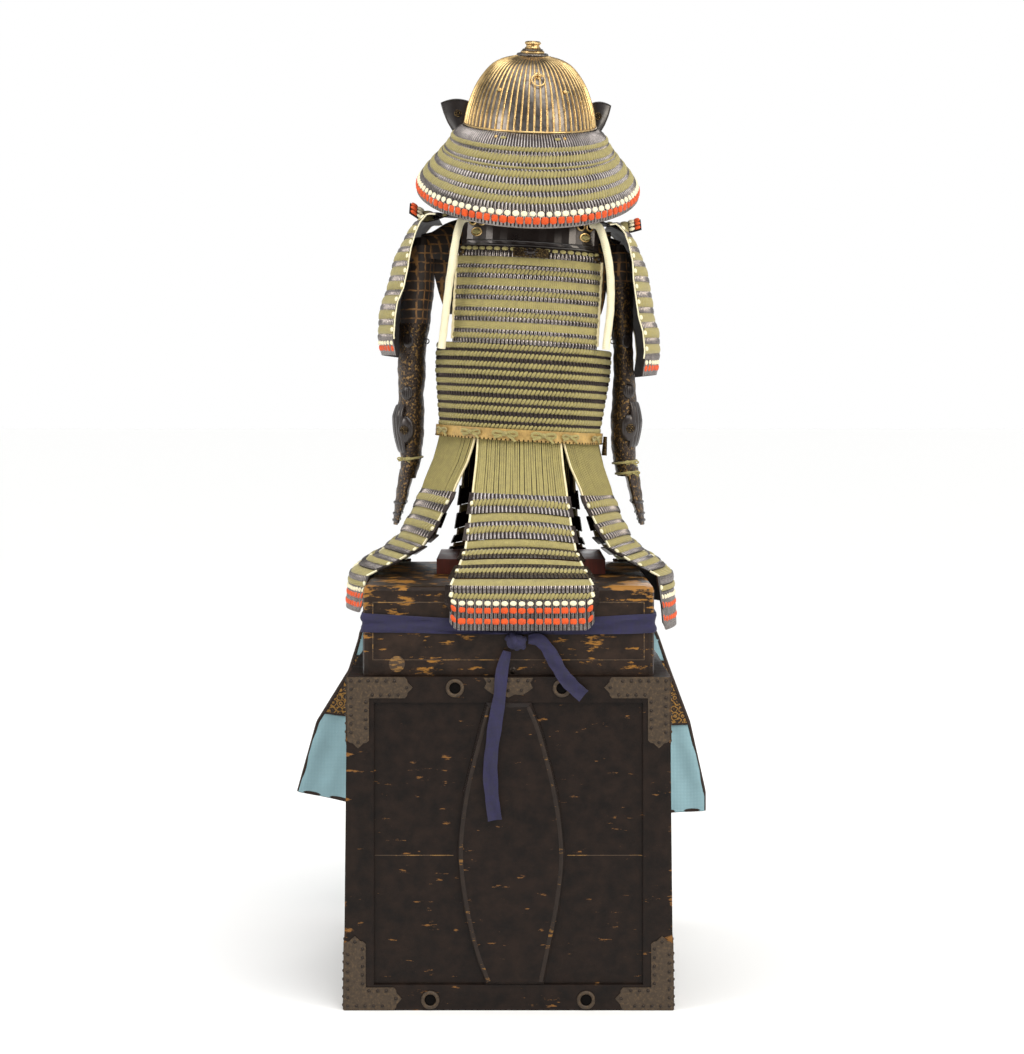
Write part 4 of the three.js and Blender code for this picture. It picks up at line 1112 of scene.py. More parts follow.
def body_point(height: np.ndarray | float, degrees: np.ndarray | float) -> Points:
    """Gives points on the inside of the cuirass, in the frame of the armour.

    Args:
        height: Height above the waist.
        degrees: Angle from behind, growing towards +X.

    Returns:
        The points.
    """
    height, degrees = np.broadcast_arrays(np.asarray(height, float), np.asarray(degrees, float))
    turn = np.radians(degrees)
    half = read(BODY, 0, 1, height)
    deep = np.where(np.cos(turn) > 0, read(BODY, 0, 2, height), read(BODY, 0, 3, height))
    return moved(np.stack([half * np.sin(turn), -deep * np.cos(turn), height], axis=-1), WAIST)


def body_sheet(top: float, bottom: float, start: float, end: float) -> Surface:
    """Makes the sheet between two heights and two angles of the cuirass."""
    return Surface(
        lambda a, d: body_point(mixed(top, bottom, d), mixed(start, end, a)), wrap=end - start == 360
    )


def repeated(
    pattern: Sequence[tuple[Strip, float, float]], first: float, length: float, count: int,
    out: tuple[float, float] = (0.4, 1.2)
) -> list[Row]:
    """Repeats the rows of a lame.

    Args:
        pattern: Kind, start and end of each row, as shares of the lame.
        first: Where the first lame starts.
        length: Length of a lame.
        count: Number of lames.
        out: How far the ground stands off at a lame's top and at its lower edge.

    Returns:
        The rows.
    """
    rows = []
    for k in range(count):
        for kind, start, end in pattern:
            top, foot = first + (k + start) * length, first + (k + end) * length
            rows.append(Row(kind, top, foot, mixed(*out, start), mixed(*out, end)))
    return rows


def bow(lot: Lot, middle: Points, right: Points, up: Points, out: Points, size: float) -> None:
    """Adds a flat cord bow: two loops, two ends and the knot between them.

    Args:
        lot: The lot that it goes to.
        middle: Where the knot sits.
        right: Unit vector along the belt.
        up: Unit vector up.
        out: Unit vector off the belt.
        size: Its scale.
    """

    def spot(x: float, z: float, y: float) -> Points:
        """Places a point of the bow."""
        return middle + size * (right * x + up * z + out * y)

    for sign in (-1, 1):
        shape = (
            (0, 0, 1.5), (6, 2.5, 3.2), (15, 3.5, 3.0), (19, 0, 2.0), (14, -3, 1.2), (5, -1.5, 1.0),
            (0, 0, 1.0)
        )
        loop = [spot(sign * x, z, y) for x, z, y in shape]
        lot.tube(smooth_line(loop, 14), 2.4 * size, 6, flat=0.55)
        end = [
            spot(0, 0, 1.2), spot(sign * 6, -3.5, 1.6), spot(sign * 12, -6 - sign, 1.2),
            spot(sign * 16, -9 - 2 * sign, 0.8)
        ]
        lot.tube(smooth_line(end, 8), 2.2 * size, 6, flat=0.5)
    lot.dome(middle + out * 1.2, right * 4.2 * size, up * 3.8 * size, out * 4.4 * size, sides=10, rings=3)


def ring_of(centre: Points, right: Points, up: Points, radius: float, count: int = 20) -> Points:
    """Gives the points of a round or oval loop."""
    turn = np.linspace(0, 2 * math.pi, count, endpoint=False)[:, None]
    return centre + right * radius * np.cos(turn) + up * radius * np.sin(turn)


def axes_on(
    surface: Surface, across: float, down: float, out: float
) -> tuple[Points, Points, Points, Points]:
    """Gives a place on a sheet and its right, up and outward directions.

    Args:
        surface: The sheet.
        across: Share across.
        down: Share down.
        out: Distance off it.

    Returns:
        The place and three unit vectors.
    """
    a, d = np.array(across), np.array(down)
    step = 2e-3
    right = surface.place(a + step, d) - surface.place(a - step, d)
    right = right / np.linalg.norm(right)
    off = surface.out(a, d)
    up = np.cross(off, right)
    up = up / np.linalg.norm(up)
    return surface.at(a, d, out), right, up if up[2] > 0 else -up, off


@dataclass
class Cuirass(Assembly):
    """The laced body armour with its collar plate, belt and shoulder straps.

    Args:
        lame: Rows of one lame of the back.
        lower_lame: Rows of one lame that runs all round.
        back_top: Height of the upper back's top.
        joint: Height where the upper parts meet the lower one.
        bottom: Height of the lower edge.
    """

    lame: tuple[tuple[Strip, float, float], ...] = (
        (Strip.THREADS, 0.0, 0.37),
        (Strip.SCALES, 0.36, 0.56),
        (Strip.ROPE, 0.54, 0.80),
        (Strip.SCALES, 0.78, 1.01),
    )
    lower_lame: tuple[tuple[Strip, float, float], ...] = (
        (Strip.ROPE, 0.02, 0.34),
        (Strip.SCALES, 0.31, 0.50),
        (Strip.ROPE, 0.49, 0.80),
        (Strip.SCALES, 0.78, 1.03),
    )
    back_top: float = 255.0
    joint: float = 93.0
    bottom: float = -54.0

    def build(self) -> None:
        """Makes all pieces of the cuirass."""
        back = body_sheet(self.back_top, self.joint + 0.3, -55, 55)
        rows = [
            Row(Strip.SCALES, 0.045, 0.112, 0.6, 0.9),
            Row(Strip.OLIVE_KNOTS, 0.008, 0.05, 0.4, 0.4, margin=0.03),
            *repeated(self.lame, 1 / 9, 2 / 9, 4),
        ]
        Laced("do_upper_back", back, rows, ["do_upper_back"]).build()
        front = body_sheet(196, self.joint + 0.3, 132, 228)
        Laced("do_upper_front", front, repeated(self.lame, 0, 1 / 3, 3), ["do_upper_front"]).build()
        lower = body_sheet(self.joint, self.bottom, 0, 360)
        Laced(
            "do_lower", lower, repeated(self.lower_lame, 0, 1 / 5, 5), ["do_lower"], heads=SHADED_SCALES
        ).build()
        self._edges(back)
        self._collar()
        self._fittings(back)
        self._belt()
        for side in ("left", "right"):
            self.dress("shoulder_strap_" + side, BLACK_LACQUER)

    def _edges(self, back: Surface) -> None:
        """Makes the cream edging of the upper back, bulging at each lame.

        Args:
            back: The sheet of the upper back.
        """
        lot = Lot()
        down = np.linspace(0.1, 0.97, 60)
        bulge = 2.3 + 0.8 * np.abs(np.sin(np.pi * (down - 1 / 9) * 9))
        for across in (0.006, 0.994):
            lot.tube(back.at(np.full(60, across), down, 3.4), bulge, 8, flat=0.8)
        self.make("do_upper_back_edging", lot, CREAM_HIDE, ["do_upper_back"])

    def _collar(self) -> None:
        """Dresses the collar plate and adds its moulding, eyelets and knots."""
        self.dress("collar_plate", PLATE_LACQUER)
        plate = body_sheet(312, 255.6, -50, 50)
        bead = Lot()
        across = np.linspace(0.01, 0.99, 60)
        bead.tube(plate.at(across, np.full(60, 0.985), 4.6), 2.0, 8, lobes=2, twist=0.12)
        bead.tube(plate.at(across, np.full(60, 0.86), 5.2), 1.2, 6)
        self.make("collar_moulding", bead, BLACK_LACQUER)
        gilt, olive, hole = Lot(), Lot(), Lot()
        for side in (-1, 1):
            for x, z in ((-0.036, 0.3), (0.036, 0.3), (0.0, 0.62)):
                centre, right, up, off = axes_on(plate, 0.5 + side * 0.37 + x, z, 5.4)
                wide = 1.45 if x == 0 else 1.0
                gilt.tube(ring_of(centre, right * wide, up, 6.4), 1.5, 6, closed=True)
                # A flat dark pad in each eyelet is painted shade in its hole.
                hole.dome(centre, right * 5.6 * wide, up * 5.6, off * 0.5, sides=14)
                if x == 0:
                    for k in range(-2, 3):
                        olive.dome(
                            centre + right * k * 2.9, right * 2.3, up * (5.2 - abs(k)), off * 3.6, sides=8
                        )
        self.make("collar_eyelets", gilt, GILT)
        self.make("collar_eyelet_hole_shade", hole, SHADOW)
        self.make("collar_knots", olive, OLIVE_SILK)

    def _fittings(self, back: Surface) -> None:
        """Dresses the plaque and adds its boss and the small metal pieces at the row's ends.

        Args:
            back: The sheet of the upper back.
        """
        self.dress("do_plaque", DULL_GILT)
        metal, boss = Lot(), Lot()
        across = 0.5 + 0.5 / 110
        centre, right, up, off = axes_on(back, across, 0.06, 9.2)
        boss.dome(centre, right * 7.5, up * 4.2, off * 2.6, sides=20, square=2.0, rings=3)
        for k in range(8):
            turn = 2 * math.pi * k / 8
            spot = centre + right * 9.5 * math.cos(turn) + up * 5.8 * math.sin(turn)
            boss.dome(spot, right * 2.1, up * 1.6, off * 1.4, sides=8)
        for place, wide in ((0.045, 8.0), (0.955, 9.0)):
            centre, right, up, off = axes_on(back, place, 0.07, 3.6)
            metal.dome(centre, right * wide, up * 6.5, off * 2.2, sides=12, square=1.5, rings=2)
            boss.dome(centre + off * 1.6, right * 2.6, up * 2.6, off * 3.0, sides=12, rings=3)
        self.make("do_end_fittings", metal, DULL_GILT)
        self.make("do_fitting_bosses", boss, PLATE_LACQUER)

    def _belt(self) -> None:
        """Dresses the belt and its toggle and ties the olive bows."""
        self.dress("belt", TAN_HIDE)
        self.dress("belt_toggle", DULL_GILT)
        flat = Surface(lambda a, d: moved(belt_rim(360 * a, mixed(-47, -66, d)), WAIST), wrap=True)
        bows, stitches = Lot(), Lot()
        for degrees, size in ((-34, 0.95), (-9.5, 1.1), (16, 1.1), (36, 0.85), (64, 0.8), (-64, 0.9)):
            centre, right, up, off = axes_on(flat, degrees / 360, 0.42, 0.6)
            bow(bows, centre, right, up, off, size)
        for degrees in np.arange(0, 360, 3.0):
            centre, right, up, off = axes_on(flat, degrees / 360, 0.93, 0.0)
            stitches.dome(centre, right * 1.3, up * 1.7, off * 0.7, sides=6, rings=1)
        self.make("belt_bows", bows, OLIVE_SILK)
        self.make("belt_stitches", stitches, SHADOW)


def belt_rim(degrees: np.ndarray, height: np.ndarray) -> Points:
    """Gives points on the outside of the belt, before the lean.

    Args:
        degrees: Angle from behind, growing towards +X.
        height: Height above the waist.

    Returns:
        The points, before the cuirass leans.
    """
    turn = np.radians(degrees)
    half = read(BODY, 0, 1, -66) + 10.4
    deep = np.where(np.cos(turn) > 0, read(BODY, 0, 2, -66), read(BODY, 0, 3, -66)) + 10.4
    return np.stack([half * np.sin(turn), -deep * np.cos(turn), height + 0 * turn], axis=-1)


# Share of the skirt's lames, height, and outward run from the waist to the hem.
SKIRT = (
    (0, 895, 0),
    (0.16, 880, 0.008),
    (0.5, 845, 0.07),
    (1, 797, 0.2),
    (2, 755, 0.33),
    (3, 715, 0.47),
    (4, 690, 0.68),
    (5, 661, 0.97),
    (6, 593, 1),
)


@dataclass
class Tasset(Assembly):
    """One hanging panel of the skirt: long lacing and five lames.

    Args:
        name: The panel's name.
        start: Angle of its left edge at the waist.
        end: Angle of its right edge.
        left: Where its left edge ends, seen from outside.
        right: Where its right edge ends.
        bow: How far its hem bows out.
        hem: Height of its hem.
        strands: Cords of its long lacing.
    """

    name: str
    start: float
    end: float
    left: tuple[float, float]
    right: tuple[float, float]
    bow: float
    hem: float
    strands: int

    def point(self, across: np.ndarray, row: np.ndarray) -> Points:
        """Gives points on the panel's inner side, by share across and by row.

        Args:
            across: Shares across.
            row: Row of the skirt's table, from 0 at the waist to 6 at the hem.

        Returns:
            The points.
        """
        degrees = mixed(self.start, self.end, across)
        turn = np.radians(degrees)
        _, half, deep, _ = BODY[-1]
        waist = moved(np.stack([half * np.sin(turn), -deep * np.cos(turn), -55.2 + 0 * turn], axis=-1), WAIST)
        hem_x = mixed(self.left[0], self.right[0], across)
        hem_y = mixed(self.left[1], self.right[1], across)
        off = np.array([self.right[1] - self.left[1], self.left[0] - self.right[0]])
        off = off / np.linalg.norm(off)
        run = read(SKIRT, 0, 2, row)
        swell = 4 * across * (1 - across) * self.bow * run
        level = read(SKIRT, 0, 1, row)
        fade = np.maximum(0, 1 - row / 5)
        last = np.maximum(0, row - 5) * (self.hem - 593)
        droop = 7 * np.sin(np.pi * np.minimum(row / 5, 1)) * (2 * across - 1) ** 2
        corner = 14 * (np.maximum(0, np.abs(2 * across - 1) - 0.86) / 0.14) ** 2 * np.maximum(0, row - 5)
        x = mixed(waist[..., 0], hem_x, run) + off[0] * swell
        y = mixed(waist[..., 1], hem_y, run) + off[1] * swell
        z = level + (waist[..., 2] - 895) * fade + last + corner - np.where(row > 1, droop, 0)
        return np.stack([x, y, z], axis=-1)

    def build(self) -> None:
        """Makes the lames and the lacing above them."""
        sheet = Surface(lambda a, d: self.point(a, mixed(1.0, 6.0, d)))
        middle = (
            (Strip.SCALES, 0.0, 0.21),
            (Strip.ROPE, 0.19, 0.45),
            (Strip.SCALES, 0.43, 0.70),
            (Strip.THREADS, 0.69, 1.0),
        )
        last = (
            (Strip.SCALES, 0.0, 0.15),
            (Strip.ROPE, 0.14, 0.31),
            (Strip.CREAM, 0.31, 0.46),
            (Strip.ORANGE, 0.455, 0.64),
            (Strip.SCALES, 0.29, 1.0),
            (Strip.ORANGE, 0.70, 0.885),
        )
        rows = repeated(middle, 0, 0.2, 4, out=(0.6, 3.0))
        for row in rows:
            if row.kind is Strip.THREADS:
                row.out_start, row.out_end = 0.0, -0.4
        rows += repeated(last, 0.8, 0.2, 1, out=(0.6, 2.2))
        slabs = [(0.2 * k, 0.2 * k + 0.138, 0.4, 2.4) for k in range(4)] + [(0.8, 1.0, 0.4, 2.0)]
        Laced("tasset_" + self.name, sheet, rows, ["tasset_" + self.name], slabs=slabs).build()
        self._edges(sheet)
        self._lacing()

    def _edges(self, sheet: Surface) -> None:
        """Makes the cream edge cords beside the lacing and the knots at the ends of each rope.

        Args:
            sheet: The panel's inner side.
        """
        lot = Lot()
        for k in range(4):
            down = np.linspace(0.2 * k + 0.139, 0.2 * k + 0.2, 6)
            for across in (0.008, 0.992):
                lot.tube(sheet.at(np.full(6, across), down, 2.2), 2.0, 7)
        for k in range(5):
            middle = 0.2 * k + (0.064 if k < 4 else 0.045)
            for across in (0.012, 0.988):
                centre, right, up, off = axes_on(sheet, across, middle, 3.0)
                lot.dome(centre, right * 3.4, up * 4.6, off * 3.6, sides=10, rings=3)
        self.make(f"tasset_{self.name}_edging", lot, CREAM_SILK, ["tasset_" + self.name], smooth=60)
        # Each plate's bare end stands out past the lacing, in the darker copy of the scale lacquer that
        # carries painted shade.
        ends = Lot()
        reach = 6 / sheet.span(0.5)
        for k in range(5):
            down = np.linspace(0.2 * k, 0.2 * k + 0.138, 6)[:, None]
            for edge, sign in ((0.0, -1), (1.0, 1)):
                across = edge + sign * np.array([[-0.4 * reach, 0.3 * reach, reach]])
                across = across[:, ::sign]
                held = np.clip(across + 0 * down, 0.01, 0.99)
                base = self.point(across + 0 * down, mixed(1.0, 6.0, down + 0 * across))
                off = sheet.out(held, down + 0 * held) * mixed(0.4, 2.4, (down - 0.2 * k) / 0.138)[..., None]
                ends.shell(base + off + sheet.out(held, down + 0 * held) * 2.6, base + off)
        self.make(f"tasset_{self.name}_plate_ends", ends, SHADED_SCALES, ["tasset_" + self.name])

    def _lacing(self) -> None:
        """Makes the long upright cords between the waist and the first lame."""
        rng = np.random.default_rng(SEED + int(abs(self.start)))
        cords, edge = Lot(), Lot()
        lean = Surface(lambda a, d: self.point(a, 1.02 * d))
        count = self.strands
        down = np.linspace(0, 1, 9)
        width = lean.span(0.5) / count / 2
        for k in range(count):
            base = (k + 0.5) / count
            top, foot = rng.normal(0, 0.10 / count, 2)
            sway = rng.normal(0, 0.35)
            across = np.clip(base + mixed(top, foot, down), 0.01, 0.99)
            out = 1.6 + 0.9 * np.sin(np.pi * down) * sway
            cords.tube(
                lean.at(across, down, out), width * mixed(0.9, 1.16, down) * rng.uniform(0.86, 1.0), 6,
                flat=0.55
            )
        for across in (0.004, 0.996):
            edge.tube(lean.at(np.full(9, across), down, 1.6), 2.1, 7)
        node = f"tasset_{self.name}_lacing"
        # A dark sheet behind the long cords is painted shade that shows through the gaps between them.
        painted_shade_sheet = Lot()
        across = np.linspace(0.01, 0.99, 14)[None]
        painted_shade_sheet.shell(lean.at(across, down[:, None], 0.9), lean.at(across, down[:, None], 0.2))
        self.make(node + "_backing", painted_shade_sheet, WALL_LACQUER, [node])
        self.make(node + "_cords", cords, OLIVE_SILK, [node], smooth=60)
        self.make(node + "_edging", edge, CREAM_HIDE, [node], smooth=60)


TASSETS = (
    Tasset("rear_centre", -31, 31, (-93, -249), (135, -249), 7, 593, 40),
    Tasset("rear_left", -88, -33, (-272, 78), (-237, -85), 14, 601, 32),
    Tasset("rear_right", 33, 88, (250, -90), (277, 75), 14, 573, 32),
    Tasset("side_left", -134, -91, (-190, 263), (-273, 118), 32, 593, 26),
    Tasset("side_right", 91, 134, (277, 118), (200, 263), 32, 592, 26),
    Tasset("front_left", -178.5, -136, (6, 258), (-112, 258), 5, 570, 24),
    Tasset("front_right", 136, 178.5, (142, 258), (24, 258), 5, 570, 24),
)


# Helmet.

HELMET = (
    Matrix.Translation(Vector((36, 40, 1417)))
    @ Matrix.Rotation(math.radians(14), 4, "X")
    @ Matrix.Rotation(math.radians(2), 4, "Y")
)
# Height above the rim and half width.
BOWL = ((0, 112), (36, 105.5), (74, 91), (103, 70), (116, 50), (122.5, 26))
BOWL_LONG = 1.107
BOWL_TOP = 122.5
# Share down the neck guard and share of its outward run.
GUARD_ROWS = (
    (0, 0), (0.12, 0.21), (0.26, 0.3), (0.43, 0.5), (0.6, 0.72), (0.78, 0.94), (0.89, 1.03), (1, 1.04)
)

# Height, outer edge and inner edge of the turned-back wings.
WING_LEFT = ((1405, -86, -70), (1420, -97, -70), (1435, -106, -68), (1450, -112.5, -64), (1465, -117.5, -60))
WING_RIGHT = ((1400, 146, 139), (1415, 157, 141), (1430, 166, 140.5), (1445, 172.5, 138), (1460, 177, 134))


def guard_point(drop: np.ndarray | float, degrees: np.ndarray | float) -> Points:
    """Gives points on the inside of the neck guard.

    Args:
        drop: Share down.
        degrees: Angle from behind.

    Returns:
        The points.
    """
    drop, degrees = np.broadcast_arrays(np.asarray(drop, float), np.asarray(degrees, float))
    turn = np.radians(degrees)
    run = read(GUARD_ROWS, 0, 1, drop)
    half = mixed(114, 184, run)
    rear = mixed(126.1, 195, run)
    hem = -138 + 33 * (1 - np.cos(turn))
    z = mixed(2, hem, drop)
    return moved(np.stack([half * np.sin(turn), -rear * np.cos(turn) - 20 * run, z], axis=-1), HELMET)


def bowl_point(
    rise: np.ndarray | float, degrees: np.ndarray | float, out: np.ndarray | float = 0.0
) -> Points:
    """Gives points on the outside of the bowl.

    Args:
        rise: Height above the rim.
        degrees: Angle from behind.
        out: Distance outside.

    Returns:
        The points.
    """
    rise, degrees, out = np.broadcast_arrays(
        np.asarray(rise, float), np.asarray(degrees, float), np.asarray(out, float)
    )
    turn = np.radians(degrees)
    radius = read(BOWL_CURVE, 1, 0, rise) + out
    return moved(np.stack([radius * np.sin(turn), -BOWL_LONG * radius * np.cos(turn), rise], axis=-1), HELMET)


def bowl_curve() -> list[tuple[float, float]]:
    """Runs a smooth profile through the bowl's table, as radius and rise."""
    line = smooth_line([(radius, 0, rise) for rise, radius in BOWL], 40)
    return [(float(p[0]), float(max(p[2], 0))) for p in line]


BOWL_CURVE = bowl_curve()


@dataclass
class Helmet(Assembly):
    """The ribbed bowl with its finial, neck guard, wings, peak and rear ring.

    Args:
        ribs: Number of gilt ribs.
        rib_half: Half width of a rib in millimetres.
        rib_high: How far a rib stands out.
        wall: Thickness of the bowl.
        guard_span: Angle that the neck guard covers on each side.
    """

    ribs: int = 62
    rib_half: float = 1.9
    rib_high: float = 2.3
    wall: float = 2.5
    guard_span: float = 118.0

    def build(self) -> None:
        """Makes all pieces of the helmet."""
        self._bowl()
        self._finial()
        self._studs()
        self._guard()
        self._wings()
        self.dress("helmet_peak", BLACK_LACQUER)
        self.dress("helmet_ring_eye", GILT)
        self._ring()

    def _bowl(self) -> None:
        """Makes the grey plates of the bowl, its gilt ribs and its gilt rim."""
        plates, gilt = Lot(), Lot()
        line = np.asarray(BOWL_CURVE)[::2]
        rises = line[:, 1]
        degrees = np.linspace(0, 360, 2 * self.ribs, endpoint=False)
        outer = bowl_point(rises[:, None], degrees[None])
        inner = bowl_point(rises[:, None], degrees[None], -self.wall)
        turns, last = np.radians(degrees), line[-1, 0] - self.wall
        crown = np.full(len(degrees), BOWL_TOP - self.wall)
        inner[-1] = moved(
            np.stack([last * np.sin(turns), -BOWL_LONG * last * np.cos(turns), crown], axis=-1), HELMET
        )
        plates.grid(outer[::-1], wrap=True)
        plates.grid(inner, wrap=True)
        plates.grid(np.stack([outer[0], inner[0]]), wrap=True)
        for ring, top in ((outer[-1], BOWL_TOP), (inner[-1], BOWL_TOP - self.wall)):
            middle = moved(np.array([[0.0, 0.0, top]]), HELMET)
            count = len(ring)
            plates.put(np.vstack([ring, middle]), [(j, (j + 1) % count, count) for j in range(count)])
        rows = np.asarray(BOWL_CURVE)[1::2]
        for k in range(self.ribs):
            middle = 360 * (k + 0.5) / self.ribs
            half = np.minimum(self.rib_half, 0.36 * 2 * math.pi * rows[:, 0] / self.ribs)
            turn = np.degrees(half / rows[:, 0])[:, None]
            shape = np.array([-1.0, -0.62, 0.0, 0.62, 1.0])[None]
            high = self.rib_high * np.array([-0.15, 0.85, 1.0, 0.85, -0.15])[None]
            gilt.grid(bowl_point(rows[:, 1][:, None], middle + turn * shape, high)[::-1])
        self.make("bowl_plates", plates, GREY_IRON, ["helmet_bowl"], smooth=25)
        self.make("bowl_ribs", gilt, GILT, ["helmet_bowl"], smooth=70)
        rim = Lot()
        rim.tube(bowl_point(6.0, np.linspace(0, 360, 96, endpoint=False), 1.6), 2.0, 8, closed=True)
        self.make("bowl_rim", rim, GILT, ["helmet_bowl"])

    def _lathe(self, lot: Lot, profile: Table, petals: int, depth: float) -> None:
        """Turns a profile about the helmet's axis, with petals round it.

        Args:
            lot: The lot that it goes to.
            profile: Radii and heights above the bowl's top.
            petals: Number of petals.
            depth: How deep they are cut, as a share of the radius.
        """
        turn = np.linspace(0, 2 * math.pi, 96, endpoint=False)
        wave = 1 + depth * np.abs(np.sin(petals / 2 * turn))
        rings = [
            np.stack([r * wave * np.sin(turn), -r * wave * np.cos(turn), np.full(96, BOWL_TOP + z)], axis=-1)
            for r, z in profile
        ]
        lot.grid(moved(np.asarray(rings)[::-1], HELMET), wrap=True)

    def _finial(self) -> None:
        """Makes the tiered finial: grey petals, gilt bands and the open knob."""
        grey, gilt, dark = Lot(), Lot(), Lot()
        self._lathe(
            grey, ((0.2, 0.3), (25.5, 0.3), (26.0, 1.6), (25.0, 3.6), (21.0, 4.6), (0.2, 4.8)), 28, 0.05
        )
        self._lathe(
            gilt, ((0.2, 4.2), (19.6, 4.4), (20.4, 5.6), (20.0, 7.4), (18.2, 8.2), (0.2, 8.4)), 0, 0.0
        )
        self._lathe(
            grey, ((0.2, 8.0), (16.6, 8.2), (17.2, 9.6), (15.6, 11.0), (12.6, 11.8), (0.2, 12.0)), 22, 0.05
        )
        self._lathe(
            gilt,
            (
                (0.2, 11.5), (12.6, 11.6), (13.3, 13.0), (11.2, 14.6), (10.8, 17.6), (12.6, 19.0),
                (13.4, 21.0), (12.6, 23.0), (10.2, 23.9), (8.2, 23.2), (7.4, 21.4), (0.2, 21.2)
            ),
            16, 0.04
        )
        # A dark disc inside the open knob is painted shade.
        self._lathe(dark, ((0.2, 21.3), (7.3, 21.5)), 0, 0.0)
        self.make("finial_petals", grey, GREY_IRON, ["helmet_finial"])
        self.make("finial_gilt", gilt, GILT, ["helmet_finial"])
        self.make("finial_knob_painted_shade", dark, SHADOW, ["helmet_finial"])

    def _studs(self) -> None:
        """Makes the studs on the bowl and on the band under it, and the knots beside them."""
        gilt, olive, seat = Lot(), Lot(), Lot()
        bowl = Surface(lambda a, d: bowl_point(mixed(120, 0.5, d), 360 * a), wrap=True)
        band = Surface(
            lambda a, d: guard_point(mixed(0, 0.13, d), mixed(-self.guard_span, self.guard_span, a))
        )
        for across in (-0.094, 0.099):
            centre, right, up, off = axes_on(bowl, across, 0.42, 1.6)
            gilt.dome(centre, right * 3.4, up * 3.4, off * 4.0, sides=12, rings=3)
            olive.dome(centre + right * 5 * np.sign(across) - up, right * 3.2, up * 1.8, off * 2.2, sides=8)
        for side in (-1, 1):
            centre, right, up, off = axes_on(band, 0.5 + side * 0.116, 0.42, 2.6)
            gilt.dome(centre, right * 3.0, up * 3.0, off * 3.8, sides=12, rings=3)
            centre, right, up, off = axes_on(band, 0.5 + side * 0.09, 0.45, 2.6)
            olive.dome(centre, right * 5.4, up * 2.9, off * 2.8, sides=10, rings=3)
            # A dark pad just larger than each knot is painted shadow round it.
            seat.dome(centre, right * 6.2, up * 3.6, off * 1.2, sides=10)
        self.make("helmet_studs", gilt, GILT)
        self.make("helmet_stud_cords", olive, OLIVE_SILK)
        self.make("helmet_knot_painted_shadows", seat, SHADOW)

    def _guard(self) -> None:
        """Makes the ribbed band and the laced neck guard with its hem of knots."""
        span = self.guard_span
        band = Surface(lambda a, d: guard_point(mixed(0.0, 0.136, d), mixed(-span, span, a)))
        Laced(
            "helmet_neck_band", band, [
                Row(Strip.SCALES, 0.02, 0.99, 0.3, 0.3, pitch=5.0)
            ], ["helmet_neck_band"]
        ).build()
        guard = Surface(lambda a, d: guard_point(mixed(0.134, 1.0, d), mixed(-span, span, a)))
        rows = [
            Row(Strip.ROPE, 0.0, 0.058, 0.2, 0.5),
            Row(Strip.SCALES, 0.05, 0.115, 0.4, 0.5),
            Row(Strip.ROPE, 0.105, 0.215, 0.5, 1.0),
            Row(Strip.SCALES, 0.205, 0.262, 0.8, 0.9),
            Row(Strip.ROPE, 0.252, 0.285, 0.3, 0.3),
            Row(Strip.SCALES, 0.28, 0.315, 0.8, 0.9),
            Row(Strip.ROPE, 0.30, 0.395, 0.6, 1.0),
            Row(Strip.SCALES, 0.385, 0.475, 0.8, 1.2),
            Row(Strip.ROPE, 0.465, 0.56, 0.6, 1.0),
            Row(Strip.SCALES, 0.55, 0.62, 0.8, 1.2),
            Row(Strip.ROPE, 0.61, 0.71, 0.6, 1.2),
            Row(Strip.SCALES, 0.70, 0.80, 1.0, 1.2),
            Row(Strip.CREAM, 0.792, 0.862, 1.2, 1.2, pitch=14.0),
            Row(Strip.SCALES, 0.79, 1.0, 1.0, 1.0),
            Row(Strip.ORANGE, 0.86, 0.945, 1.2, 1.2, pitch=14.0),
        ]
        Laced("helmet_neck_guard", guard, rows, ["helmet_neck_guard"]).build()
        edge = Lot()
        edge.tube(guard.at(np.linspace(0, 1, 90), np.full(90, 0.995), 0.9), 1.7, 8)
        self.make("helmet_guard_hem", edge, SCALE_LACQUER, ["helmet_neck_guard"])

    def _wings(self) -> None:
        """Makes the turned-back wings, their raised rims and a plain roundel on each."""
        rims, gilt = Lot(), Lot()
        for name, rows in (("left", WING_LEFT), ("right", WING_RIGHT)):
            table = np.asarray(rows, float)
            share = np.linspace(0, 1, 13)[None]
            level = np.linspace(0, 1, 17)[:, None]
            foot, top = table[0, 0], table[-1, 0]
            z = foot + (top - foot) * level
            outer, inner = (read(table, 0, k, z) for k in (1, 2))
            x = mixed(inner, outer, share)
            # The top edge is an arch, and the plate is a little hollow.
            z = z + 9.0 * np.sin(np.pi * share * 0.82 + 0.2) * level**3
            y = 90 - 5 * np.sin(np.pi * share) + 4 * level
            face = np.stack(np.broadcast_arrays(x, y, z), axis=-1)
            lot = Lot()
            lot.shell(face, face - 2.5 * OFF)
            self.make("wing_plate_" + name, lot, BLACK_LACQUER, ["helmet_wing_" + name])
            outline = np.concatenate([face[:, -1], face[-1, ::-1][1:], face[::-1, 0][1:], face[0, 1:-1]])
            rims.tube(outline, 1.4, 6, closed=True)
            self._roundel(gilt, face[11, 6] + OFF, RIGHT, UP, OFF)
        self.make("wing_rims", rims, BLACK_LACQUER)
        self.make("wing_roundels", gilt, DULL_GILT)

    def _roundel(self, lot: Lot, centre: Points, right: Points, up: Points, off: Points) -> None:
        """Adds a small plain roundel of five beads in a ring.

        Args:
            lot: The lot that it goes to.
            centre: Its middle.
            right: Unit vector to the right.
            up: Unit vector up.
            off: Unit vector off the ground.
        """
        lot.tube(ring_of(centre, right, up, 5.8, 24), 0.9, 6, closed=True)
        for k in range(5):
            angle = 2 * math.pi * k / 5 + 0.3
            bead = centre + right * 3.0 * math.cos(angle) + up * 3.0 * math.sin(angle)
            lot.dome(bead, right * 1.8, up * 1.8, off * 1.3, sides=8)

